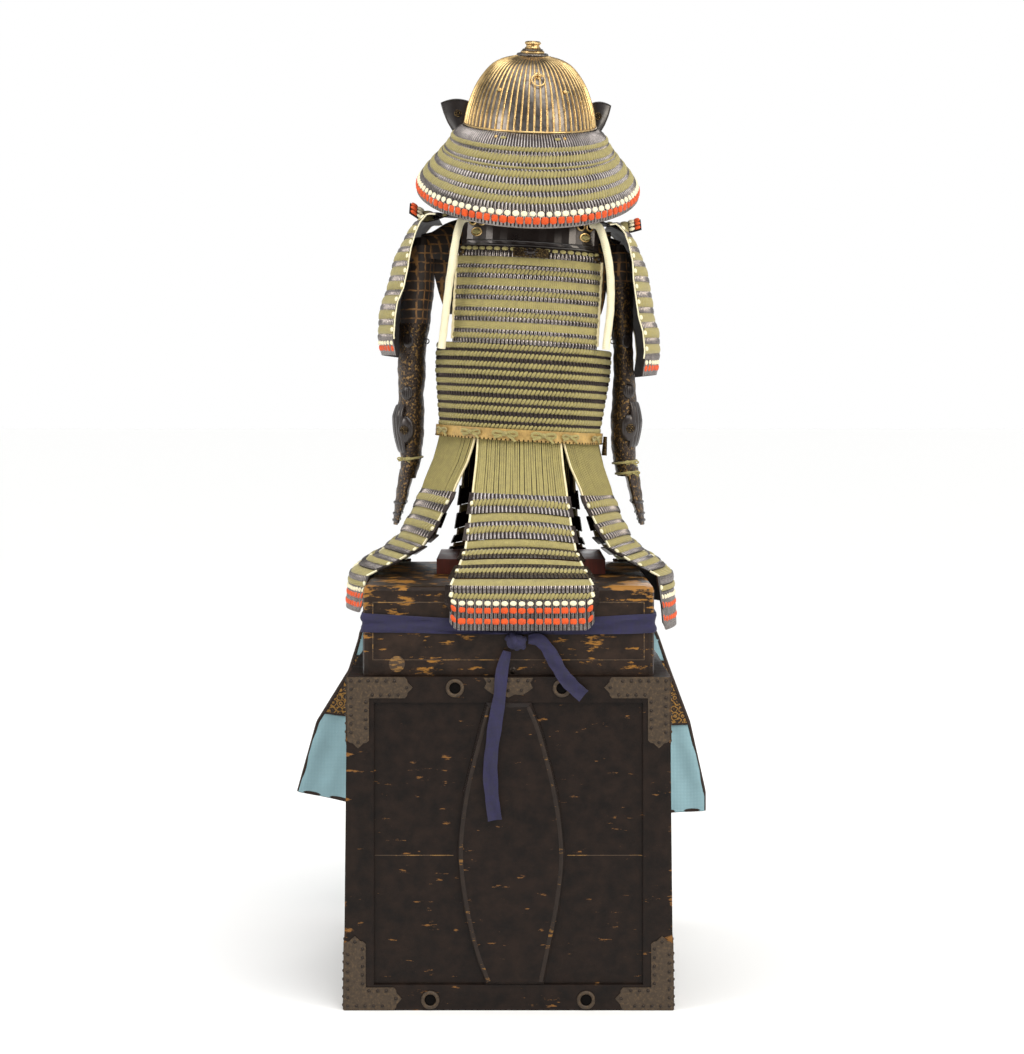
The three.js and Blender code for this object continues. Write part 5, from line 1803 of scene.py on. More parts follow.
    def _ring(self) -> None:
        """Makes the round rear ring, which swings in its eye."""
        rise, angle = 95.0, math.radians(6.5)
        radius = float(read(BOWL, 0, 1, rise)) + 1.6
        seat = Vector((radius * math.sin(angle), -radius * BOWL_LONG * math.cos(angle), rise))
        hung = HELMET @ Matrix.Translation(seat) @ Matrix.Rotation(angle, 4, "Z")
        hung = hung @ Matrix.Rotation(math.radians(-40), 4, "X")
        turn = np.linspace(0, 2 * math.pi, 40, endpoint=False)
        tilt = math.radians(4)
        flat = np.stack([11 * np.sin(turn), np.zeros(40), -11 + 11 * np.cos(turn)], axis=-1)
        y = flat[:, 1] * math.cos(tilt) - flat[:, 2] * math.sin(tilt)
        z = flat[:, 1] * math.sin(tilt) + flat[:, 2] * math.cos(tilt)
        lot = Lot()
        lot.tube(moved(np.stack([flat[:, 0], y - 5.2, z], axis=-1), hung), 1.3, 8, closed=True)
        self.make("rear_ring", lot, GILT, ["helmet_ring"], body="ring")
        petals = Lot()
        whole = np.asarray(hung)[:3, :3]
        for k in range(8):
            phi = 2 * math.pi * k / 8
            spot = moved(np.array([[5.2 * math.cos(phi), -0.6, 5.2 * math.sin(phi)]]), hung)[0]
            petals.dome(
                spot, whole @ np.array([2.2, 0, 0]), whole @ np.array([0, 0, 2.2]),
                whole @ np.array([0, -1.4, 0]), sides=8
            )
        self.make("rear_ring_seat", petals, GILT)


# Shoulder guards, flaps and sleeves.

SODE_LEFT = (
    (120, 1262.6), (143, 1262.5), (159, 1249), (171, 1232), (184, 1208), (195, 1182), (204, 1140),
    (214, 1117), (218, 1090), (220, 1060), (214, 1029),
)
SODE_RIGHT = (
    (166, 1244.6), (186, 1246.1), (203, 1233), (215, 1213), (228, 1184), (237, 1150), (241, 1120),
    (245, 1092), (252, 1068), (255, 1035), (249, 995),
)
FLAP_LEFT = ((-60, 1262.8), (-98, 1265.5), (-124, 1267.5), (-146, 1271.5), (-168, 1286))
FLAP_RIGHT = ((136, 1251), (168, 1250.4), (188, 1250.6), (206, 1253), (224, 1258))
# Height, middle in x and y, and half sizes across and along.
SLEEVE_LEFT = (
    (1214, -148, 40, 22, 40), (1150, -154, 40, 25, 43), (1080, -161, 40, 23.5, 40),
    (1030, -165.5, 42, 20, 36), (1005, -166, 43, 22, 36), (960, -167, 45, 18.5, 34), (925, -169, 47, 22, 36),
    (890, -168, 49, 19.5, 34), (850, -168, 53, 15, 30), (818, -173, 57, 11, 28),
)
SLEEVE_RIGHT = (
    (1202, 188, 40, 18, 40), (1150, 189, 40, 22, 43), (1080, 193, 40, 17, 40), (1040, 195.5, 42, 14, 36),
    (1000, 197, 43, 15, 36), (960, 198, 45, 18, 36), (915, 198, 47, 21, 35), (880, 197, 49, 19, 32),
    (850, 198, 52, 17, 30), (822, 203, 55, 14, 28),
)


@dataclass
class ShoulderGuard(Assembly):
    """A laced shoulder guard and the small flap over its top.

    Args:
        name: Its side.
        side: -1 on the left, 1 on the right.
        profile: Its outline seen from behind.
        flap: The flap's outline.
    """

    name: str
    side: int
    profile: Table
    flap: Table

    def build(self) -> None:
        """Makes the guard, its cream edge knots and the flap."""
        table = self._shares(self.profile)

        def place(across: np.ndarray, down: np.ndarray) -> Points:
            """Gives points on the guard's inner side.

            Args:
                across: Shares across.
                down: Shares down.

            Returns:
                The points.
            """
            v = 2 * across - 1
            x = read(table, 0, 1, down) - 30 * v * v * np.minimum(1, 0.1 + 2 * down)
            return np.stack([self.side * x, 38 + v * 102.5, read(table, 0, 2, down) - 3 * v * v], axis=-1)

        sheet = Surface(place, side=self.side)
        band = 1 / 11
        rows = [Row(Strip.SCALES, 0.02, band, 0.3, 0.8)]
        for k in range(1, 10):
            start = k * band
            soft = Strip.THREADS if k % 2 else Strip.ROPE
            rows.append(Row(soft, start - 0.004, start + 0.056, 0.4, 0.9))
            rows.append(Row(Strip.SCALES, start + 0.052, start + band, 0.8, 1.2))
        rows += [
            Row(Strip.CREAM, 10 * band, 10 * band + 0.03, 0.8, 0.8),
            Row(Strip.ORANGE, 10 * band + 0.028, 10 * band + 0.066, 0.9, 0.9),
            Row(Strip.SCALES, 10 * band, 1.0, 0.8, 0.8),
        ]
        node = "shoulder_guard_" + self.name
        Laced(node, sheet, rows, [node]).build()
        edge = Lot()
        for k in range(1, 10):
            for across in (0.01, 0.99):
                centre, right, up, off = axes_on(sheet, across, k * band + 0.026, 2.6)
                edge.dome(centre, right * 3.0, up * 4.4, off * 3.4, sides=10, rings=3)
        for across in (0.0, 1.0):
            edge.tube(sheet.at(np.full(40, across), np.linspace(0.02, 0.9, 40), 0.6), 1.4, 6)
        self.make(node + "_edging", edge, CREAM_SILK, [node], smooth=60)
        self._flap()

    def _shares(self, outline: Table) -> np.ndarray:
        """Sets the share of its length before each point of an outline.

        Args:
            outline: Points as (x, z).

        Returns:
            Rows of share, x and z.
        """
        shape = np.asarray(outline, float)
        run = np.concatenate([[0], np.cumsum(np.hypot(*np.diff(shape, axis=0).T))])
        return np.column_stack([run / run[-1], shape])

    def _flap(self) -> None:
        """Makes the laced flap, which ends in cream and orange knots."""
        table = self._shares(self.flap)

        def droop(across: np.ndarray) -> np.ndarray:
            """Gives how far the loose rear edge hangs down."""
            return 19 * np.clip(1 - across / 0.4, 0, 1) ** 1.4

        sheet = Surface(
            lambda a, d: np.stack(
                [
                    read(table, 0, 1, d), mixed(-8, 60, a),
                    read(table, 0, 2, d) - 0.5 * (2 * a - 1) ** 2 - droop(a) * np.clip((d - 0.3) / 0.4, 0, 1)
                ],
                axis=-1,
            ),
            side=self.side,
        )
        rows = [
            Row(Strip.SCALES, 0.02, 0.34, 0.4, 0.6),
            Row(Strip.ROPE, 0.33, 0.46, 0.6, 0.8),
            Row(Strip.SCALES, 0.45, 0.60, 0.6, 0.8),
            Row(Strip.THREADS, 0.59, 0.75, 0.6, 0.9),
            Row(Strip.CREAM, 0.755, 0.875, 0.9, 0.9, pitch=9.5),
            Row(Strip.ORANGE, 0.87, 0.985, 0.9, 0.9, pitch=9.5),
        ]
        node = "shoulder_flap_" + self.name
        Laced(node, sheet, rows, [node]).build()


@dataclass
class Sleeve(Assembly):
    """An armoured sleeve: cloth under mail, a splinted forearm plate and a hand guard.

    Args:
        name: Its side.
        side: -1 on the left, 1 on the right.
        table: Its sizes at each height.
        brocade_end: Height down to which the brocade shows.
        ties: Heights of the olive ties.
        gourd: Height of the bulging plate.
        girth: Width of its cut cloth; not used.
    """

    name: str
    side: int
    table: Table
    brocade_end: float
    ties: tuple[float, ...]
    gourd: float
    girth: float = 2 * math.pi * 33

    def point(self, z: np.ndarray, turn: np.ndarray, out: np.ndarray | float = 0.0) -> Points:
        """Gives points on the sleeve's inside, the angle in radians from behind.

        Args:
            z: Heights.
            turn: Angles in radians from behind.
            out: Distance outside.

        Returns:
            The points.
        """
        z, turn, out = np.broadcast_arrays(
            np.asarray(z, float), np.asarray(turn, float), np.asarray(out, float)
        )
        x, y, across, along = (read(self.table, 0, k, z) for k in (1, 2, 3, 4))
        return np.stack([x + (across + out) * np.sin(turn), y - (along + out) * np.cos(turn), z], axis=-1)

    def build(self) -> None:
        """Makes the cloth, the plates, the ties and the small fittings."""
        top, cuff = self.table[0][0], self.table[-1][0]
        node = f"arm_{self.name}_sleeve"
        parts = (
            (top, self.brocade_end, SLEEVE_BROCADE, "upper"), (self.brocade_end, cuff, MAIL_CLOTH, "mail")
        )
        for high, low, finish, word in parts:
            rows = max(8, round((high - low) / 5))
            z = np.linspace(high, low, rows)[:, None]
            turn = np.linspace(0, 2 * math.pi, 44, endpoint=False)[None]
            wrinkle = 0.5 * np.sin(z / 7.5 + 2 * np.sin(turn)) + 0.35 * np.sin(z / 3.1 + 5 * turn)
            lot = Lot()
            lot.shell(self.point(z, turn, 2.5 + wrinkle), self.point(z, turn, 0.0 * wrinkle), wrap=True)
            piece = self.make(f"{node}_{word}", lot, finish, [node])
        self._lining()
        self._shoulder()
        self._forearm()
        self._hand()
        self._plates()
        self._ties()

    def _lining(self) -> None:
        """Makes the dark cloth that fills the arm opening between the sleeve and the back."""
        high, low = 1238.0, 1098.0
        z = np.linspace(high, low, 24)[:, None]
        share = np.linspace(0, 1, 9)[None]
        # The cuirass's middle, which leans by 3.3 degrees from the waist up.
        lean = 21 + 0.0577 * (z - 950)
        start = lean + self.side * 108
        end = read(self.table, 0, 1, z) - self.side * (read(self.table, 0, 3, z) - 4)
        end = mixed(
            start + self.side * 10, end, np.sin(np.pi * np.clip((z - low + 30) / (high - low), 0, 1) / 2)
        )
        x = mixed(start, end, share)
        y = 26 - 7 * np.sin(np.pi * share) + 1.2 * np.sin(z / 9)
        face = np.stack(np.broadcast_arrays(x, y, z), axis=-1)
        if self.side < 0:
            face = face[:, ::-1]
        lot = Lot()
        lot.shell(face, face + np.array([0.0, 2.0, 0.0]))
        piece = self.make(f"arm_{self.name}_opening_cloth", lot, SLEEVE_BROCADE)

    def _shoulder(self) -> None:
        """Makes the cloth that rises from the sleeve to the shoulder strap."""
        top = self.table[0][0]
        inner = abs(self.table[0][1]) - self.table[0][3] - 42
        share = np.linspace(0, 1, 15)[:, None]
        turn = np.linspace(-math.pi / 2, math.pi / 2, 25)[None]
        x = self.side * mixed(abs(self.table[0][1]) + self.table[0][3] - 2, inner, share) + 0 * turn
        rise = mixed(4.0, 52.0, share**0.8) + 20
        y = 40 + mixed(37.0, 30.0, share) * np.sin(turn) + 0.8 * np.sin(9 * share)
        z = top - 22 + rise * np.cos(turn) + 1.2 * np.sin(11 * share + 2 * turn)
        face = np.stack([x, y, z], axis=-1)
        if self.side > 0:
            face = face[:, ::-1]
        lot = Lot()
        lot.shell(face, face - np.array([0.0, 0.0, 2.0]))
        piece = self.make(f"arm_{self.name}_shoulder_cloth", lot, SLEEVE_BROCADE)

    def _forearm(self) -> None:
        """Makes the splinted forearm plate, swollen in the middle."""
        node = f"arm_{self.name}_forearm_plate"
        low, high = (corner[2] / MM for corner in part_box(node))
        share = np.linspace(0, 1, 28)[:, None]
        turn = np.radians(np.linspace(20, 160, 8 * 6 + 1))[None] * self.side
        z = mixed(high - 1, low + 1, share)
        splint = np.abs(np.sin(np.linspace(0, 8 * np.pi, turn.size)))[None] ** 0.6
        out = 4.0 + 4.2 * np.sin(np.pi * share) ** 0.8 + 1.9 * splint * np.sin(np.pi * share) ** 0.3
        outer, inner = self.point(z, turn, out), self.point(z, turn, 2.2 + 0 * out)
        if self.side < 0:
            outer, inner = outer[:, ::-1], inner[:, ::-1]
        lot = Lot()
        lot.shell(outer, inner)
        self.make(node + "_splints", lot, PLATE_LACQUER, [node])

    def _hand(self) -> None:
        """Makes the mail-covered hand guard that hangs from the cuff, and its lacquered tip."""
        node = f"arm_{self.name}_hand_guard"
        low, high = (np.asarray(corner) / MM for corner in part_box(node))
        edge = max(abs(low[0]), abs(high[0]))
        share = np.linspace(0, 1, 26)[:, None]
        turn = np.linspace(0, 2 * math.pi, 40, endpoint=False)[None]
        thick = read(((0, 8), (0.12, 12.5), (0.6, 9.5), (0.85, 5), (1, 2.4)), 0, 1, share)
        reach = read(((0, 28), (0.3, 37), (0.75, 35), (1, 22)), 0, 1, share)
        middle = edge - 2 - thick - 11 * (1 - share) ** 1.5
        wrinkle = 0.6 * np.sin(26 * share + 2 * np.sin(turn)) * np.sin(np.pi * share)

        def skin(pull: float) -> Points:
            """Gives the guard's surface, pulled in by some millimetres.

            Args:
                pull: How far it is pulled in.

            Returns:
                Its rings of points.
            """
            x = self.side * (
                middle + (thick + wrinkle - pull) * self.side * np.sin(turn) - 6 * np.cos(turn) ** 2
            )
            y = 0.5 * (low[1] + high[1]) - (reach - pull) * np.cos(turn)
            return np.stack([x, y, mixed(high[2] + 1, low[2] + 0.5, share) + 0 * turn], axis=-1)

        lot = Lot()
        lot.shell(skin(0.0), skin(1.6), wrap=True)
        self.make(node + "_mail", lot, MAIL_CLOTH, [node])
        tip = Lot()
        for height in (0.62, 0.8, 0.95):
            k = int(height * 25)
            tip.tube(skin(-1.0)[k], 2.2, 6, closed=True, flat=0.6)
        self.make(node + "_tip_bands", tip, PLATE_LACQUER)

    def _rosette(
        self, lot: Lot, centre: Points, right: Points, up: Points, off: Points, radius: float
    ) -> None:
        """Adds a plain eight-petalled rosette.

        Args:
            lot: The lot that it goes to.
            centre: Its middle.
            right: Unit vector to the right.
            up: Unit vector up.
            off: Unit vector off the ground.
            radius: Its radius.
        """
        for k in range(8):
            turn = 2 * math.pi * k / 8
            spot = centre + (right * math.cos(turn) + up * math.sin(turn)) * radius * 0.6
            lot.dome(spot, right * radius * 0.26, up * radius * 0.26, off * 1.6, sides=8)
        lot.dome(centre, right * radius * 0.3, up * radius * 0.3, off * 2.4, sides=10)
        lot.tube(ring_of(centre, right, up, radius, 24), 0.9, 6, closed=True)

    def _plates(self) -> None:
        """Adds the elbow plate, the bulging plate and rosettes."""
        plates, gilt = Lot(), Lot()
        rear = Surface(
            lambda a, d: self.point(mixed(1100, 830, d), self.side * mixed(-0.9, 1.6, a), 3.2), side=self.side
        )
        for height, wide, tall, thick in (
            (self.gourd, 15, 24, 7.0), (self.gourd + 62, 11, 13, 4.0), (1052, 10, 12, 3.5)
        ):
            centre, right, up, off = axes_on(rear, 0.46, (1100 - height) / 270, -0.5)
            plates.dome(centre, right * wide, up * tall, off * thick, sides=28, square=2.0, rings=6)
            for k in range(-2, 3):
                x = 0.62 * wide * k / 2
                half = 0.86 * tall * math.sqrt(max(0.05, 1 - (k / 2.6) ** 2))
                lift = thick * math.sqrt(max(0.0, 1 - (0.62 * k / 2) ** 2))
                line = [
                    centre + right * x + up * half * s + off * (lift * math.cos(1.25 * s) + 0.4)
                    for s in np.linspace(-1, 1, 9)
                ]
                plates.tube(np.array(line), 0.9, 5)
        centre, right, up, off = axes_on(rear, 0.46, (1100 - self.gourd) / 270, 6.4)
        self._rosette(gilt, centre, right, up, off, 7.0)
        self.make(f"arm_{self.name}_small_plates", plates, PLATE_LACQUER)
        self.make(f"arm_{self.name}_rosettes", gilt, DULL_GILT)

    def _ties(self) -> None:
        """Makes the olive ties round the sleeve and the loop that joins it to the armour."""
        lot = Lot()
        turn = np.linspace(0, 2 * math.pi, 30, endpoint=False)
        for height in self.ties:
            lot.tube(
                self.point(height + 2.5 * np.sin(turn), turn, 4.4), 2.0, 7, closed=True, lobes=2, twist=0.15
            )
            back = self.point(np.array([height]), np.array([self.side * 0.5]), 5.5)[0]
            bow(lot, back, RIGHT, UP, OFF, 0.6)
        self.make(f"arm_{self.name}_ties", lot, OLIVE_SILK)
        loop = Lot()
        inner = self.point(np.array([1052.0]), np.array([-self.side * 1.2]), 4.0)[0]
        loop.tube(ring_of(inner, RIGHT, UP, 4.0, 16), 1.1, 6, closed=True)
        self.make(f"arm_{self.name}_loop", loop, BLACK_LACQUER)


# Thigh guards, sash and cords.

# Height, outer edge on the left, outer edge on the right, and distance before the box's middle.
THIGH_ROWS = (
    (588, 238, 238, 235.6), (560, 252, 250, 237), (532, 268, 265, 244), (516, 272, 272, 254),
    (459, 290, 292, 257), (364, 349, 328, 262), (236, 385, 357, 268),
)
TAIL_LEFT = (
    (-2, -242, 559.5), (-9, -247, 535), (-12, -254, 512), (-14, -257, 490), (-22, -260.5, 440),
    (-28, -261.5, 385), (-26, -261.5, 340), (-21, -261.5, 300),
)
TAIL_RIGHT = (
    (31, -240.4, 578), (48, -242.4, 577), (62, -244.4, 562), (74, -246.4, 541), (86, -251.9, 522),
    (101, -254.4, 506), (117, -255.9, 492),
)
CORD_LEFT = (
    (-62.8, -42.9, 1255.3), (-67.2, -49.8, 1255.2), (-72.5, -58, 1253.5), (-78, -66, 1249),
    (-81.5, -72, 1241), (-83.7, -75.5, 1232), (-86, -77, 1222), (-89, -77, 1205), (-92, -76, 1188),
    (-94, -74.5, 1172), (-97, -71, 1156), (-99, -68, 1140), (-101, -65, 1124), (-103, -62, 1108),
    (-105, -59, 1092), (-107, -56, 1076), (-109, -53, 1060), (-111, -51, 1045), (-112, -50, 1038),
)
CORD_RIGHT = (
    (139.2, -42.6, 1243.7), (143.3, -49, 1243.6), (148, -55, 1241), (152.4, -59, 1234.5), (156, -60.8, 1224),
    (160, -61, 1210), (164, -59, 1193), (167, -56, 1176), (169, -53, 1158), (170, -50, 1140),
    (170, -48, 1122), (169.5, -47, 1104), (168, -47, 1088), (166, -48, 1072), (164, -49, 1058),
    (162.5, -50, 1044), (162, -50, 1036),
)


@dataclass
class ShoulderCords(Assembly):
    """The two thick cream cords that hang from the collar plate over the back.

    Args:
        radius: Radius in millimetres.
    """

    radius: float = 6.6

    def build(self) -> None:
        """Makes both cords along their routes."""
        for side, route in (("left", CORD_LEFT), ("right", CORD_RIGHT)):
            line = smooth_line(route, 90)
            lot = Lot()
            lot.tube(line, self.radius * 0.97, 20, lobes=4, twist=0.018)
            piece = self.make("shoulder_cord_" + side, lot, CREAM_SILK, ["cord_" + side])


@dataclass
class ThighGuard(Assembly):
    """One panel of the divided apron: blue linen with dark edging and a turned-back brocade corner.

    Args:
        name: Its side.
        side: -1 on the left, 1 on the right.
        edge: Column of the table that gives its outer edge.
        hem: Height of its outer corner.
    """

    name: str
    side: int
    edge: int
    hem: float

    def point(self, across: np.ndarray, down: np.ndarray) -> Points:
        """Gives points on the side of the cloth that faces the box.

        Args:
            across: Shares across, from the outer edge.
            down: Shares down.

        Returns:
            The points.
        """
        outer = mixed(587.7, self.hem, down)
        z = mixed(outer, mixed(587.7, 186.0, down), np.minimum(1, 1.6 * across))
        x = read(THIGH_ROWS, 0, self.edge, outer)
        fold = 2.5 * down * (1 - np.cos(2 * np.pi * 3.5 * across))
        return np.stack([self.side * mixed(x, 8, across), read(THIGH_ROWS, 0, 3, z) + fold, z], axis=-1)

    def build(self) -> None:
        """Makes the linen, its edging tape and the brocade corner."""
        sheet = Surface(self.point, side=self.side)
        across, down = np.linspace(0, 1, 61)[None], np.linspace(0, 1, 56)[:, None]
        ripple = 1.2 * down * np.sin(46 * across + 5 * down) + 0.5 * np.sin(23 * down + 14 * across)
        linen = Lot()
        linen.shell(sheet.at(across, down, 2.6 + ripple), sheet.at(across, down, 0.4 + ripple))
        node = "thigh_guard_" + self.name
        cloth = self.make(node + "_linen", linen, LINEN, [node])
        hem = Lot()
        edges = [
            (np.zeros(60), np.linspace(0.0, 1.0, 60)),
            (np.linspace(0, 1, 60), np.full(60, 0.995)),
            (np.full(60, 0.997), np.linspace(0.0, 1.0, 60)),
        ]
        for a, d in edges:
            hem.tube(sheet.at(a, d, 1.5), 3.2, 8, flat=0.62)
        tape = self.make(node + "_edging", hem, HEM_TAPE, [node])
        self._brocade(sheet)

    def _brocade(self, sheet: Surface) -> None:
        """Makes the brocade on the side of the box, with its dark border.

        Args:
            sheet: The side of the cloth that faces the box.
        """
        lot, border = Lot(), Lot()
        across, down = np.linspace(0.0, 0.30, 18)[None], np.linspace(0.29, 0.585, 22)[:, None]
        lot.shell(sheet.at(across, down, -0.3), sheet.at(across, down, -1.9))
        node = "thigh_flap_" + self.name
        piece = self.make(node + "_brocade", lot, HEM_BROCADE, [node])
        for a, d in (
            (np.full(30, 0.004), np.linspace(0.29, 0.585, 30)),
            (np.linspace(0.0, 0.3, 30), np.full(30, 0.29)),
            (np.linspace(0.0, 0.3, 30), np.full(30, 0.585)),
        ):
            border.tube(sheet.at(a, d, -1.4), 2.2, 7, flat=0.6)
        tape = self.make(node + "_border", border, HEM_TAPE, [node])


@dataclass
class Sash(Assembly):
    """The navy sash round the lid, with its knot and two loose tails.

    Args:
        bottom: Height of its lower edge at the sides.
        high: Its height.
        sag: How far it sags behind.
    """

    bottom: float = 588.0
    high: float = 30.0
    sag: float = 9.0

    def build(self) -> None:
        """Makes the band, the knot and the tails."""
        x, y = self._outline().T[:2]
        lot = Lot()
        share = np.linspace(0, 1, 9)[:, None]
        crumple = np.interp(x, (-235, -80, 12, 84, 200), (0, 0.5, 1, 0.45, 0)) * (y < -230)
        sag = self.sag * np.interp(np.abs(x - 12), (0, 240), (1, 0)) * (y < -220)
        narrow = 1 - 0.42 * crumple
        z = self.bottom + self.high * 0.5 + self.high * narrow * (0.5 - share) - sag
        off = np.stack([x / 235, y / 237, 0 * x], axis=-1)
        off /= np.linalg.norm(off, axis=1)[:, None]
        folds = 1.9 * np.sin(share * 9 + 0.03 * x) + 0.8 * np.sin(share * 15 - 0.045 * x)
        folds = folds + 1.1 * crumple * np.abs(np.sin(share * 11)) + 0.5 * np.sin(share * 17 + 0.05 * x)
        base = np.stack(np.broadcast_arrays(x, y, z), axis=-1)
        outer = base + off[None] * (3.0 + folds)[..., None]
        lot.shell(outer, base + off[None] * 0.4, wrap=True)
        band = self.make("sash_round_lid", lot, SASH_CLOTH, ["sash_band"])
        self._knot()
        for name, route, turns in (("left", TAIL_LEFT, 0.25), ("right", TAIL_RIGHT, 0.6)):
            self._tail(name, route, turns)

    def _outline(self) -> Points:
        """Gives the line round the lid that the sash follows.

        Returns:
            Its points, level and closed.
        """
        points = []
        for x, y, start in ((1, -1, -90), (1, 1, 0), (-1, 1, 90), (-1, -1, 180)):
            for k in range(7):
                turn = math.radians(start + 15 * k)
                points.append((x * 220 + 9.4 * math.cos(turn), y * 225 + 9.4 * math.sin(turn), 0))
        closed_line = np.asarray(points + points[:1], float)
        run = along_line(closed_line)
        wanted = np.unique(np.concatenate([np.linspace(0, run[-1], 240, endpoint=False), run[:-1]]))
        return np.stack([np.interp(wanted, run, closed_line[:, k]) for k in range(3)], axis=1)

    def _knot(self) -> None:
        """Makes the tied knot: a wrapped core with two folds over it."""
        lot = Lot()
        core = np.array([12.0, -244.5, 574.0])
        lot.dome(core, RIGHT * 15.0, UP * 12.0, OFF * 10.0, sides=28, square=2.4, rings=8)
        for start, end, lift in (
            ((-3, 581), (25, 565), 11), ((0, 569), (27, 579), 9), ((6, 587), (14, 562), 12.5)
        ):
            crest = (mixed(start[0], end[0], 0.5), -243 - lift, mixed(start[1], end[1], 0.5))
            line = smooth_line([(start[0], -243, start[1]), crest, (end[0], -243, end[1])], 14)
            lot.tube(line, np.linspace(5.2, 4.2, 14), 10, flat=0.6)
        self.make("sash_tied_knot", lot, SASH_CLOTH, ["sash_knot"])

    def _tail(self, name: str, route: Table, turns: float) -> None:
        """Makes a loose tail, a folded ribbon that follows its route.

        Args:
            name: Its side.
            route: Middle line of the tail.
            turns: How strongly it curls.
        """
        line = smooth_line(route, 60)
        along = np.gradient(line, axis=0)
        along /= np.linalg.norm(along, axis=1)[:, None]
        off = np.array([0.0, -1.0, 0.0])
        across = np.cross(along, off)
        across /= np.linalg.norm(across, axis=1)[:, None]
        share = np.linspace(-1, 1, 11)
        run = np.linspace(0, 1, 60)
        uneven = 1 + 0.05 * np.sin(19 * run) + 0.03 * np.sin(43 * run)
        half = np.interp(run, (0, 0.12, 0.4, 1), (6.4, 9.6, 10.6, 11.2)) * uneven
        fold = (
            1.6 * np.sin(2.6 * share[None] + 5 * run[:, None])
            + 0.7 * np.sin(31 * run[:, None] + 3 * share[None])
            + turns * 2.2 * np.sin(7 * run)[:, None] * share[None]
        )
        middle = line[:, None] + across[:, None] * (half[:, None] * share[None])[..., None]
        lot = Lot()
        lift = 1.4 + fold - fold.min()
        lot.shell(middle + off * (lift + 1.0)[..., None], middle + off * (lift - 0.8)[..., None])
        piece = self.make("sash_loose_tail_" + name, lot, SASH_CLOTH, ["sash_tail_" + name])


# Storage box and stand.


# Height and the side edges of the raised board on the rear face.
BOARD = (
    (481, -36, 37), (430, -48, 54), (340, -70, 77), (250, -80, 88), (170, -72, 81), (95, -55, 66),
    (40, -37, 56)
)


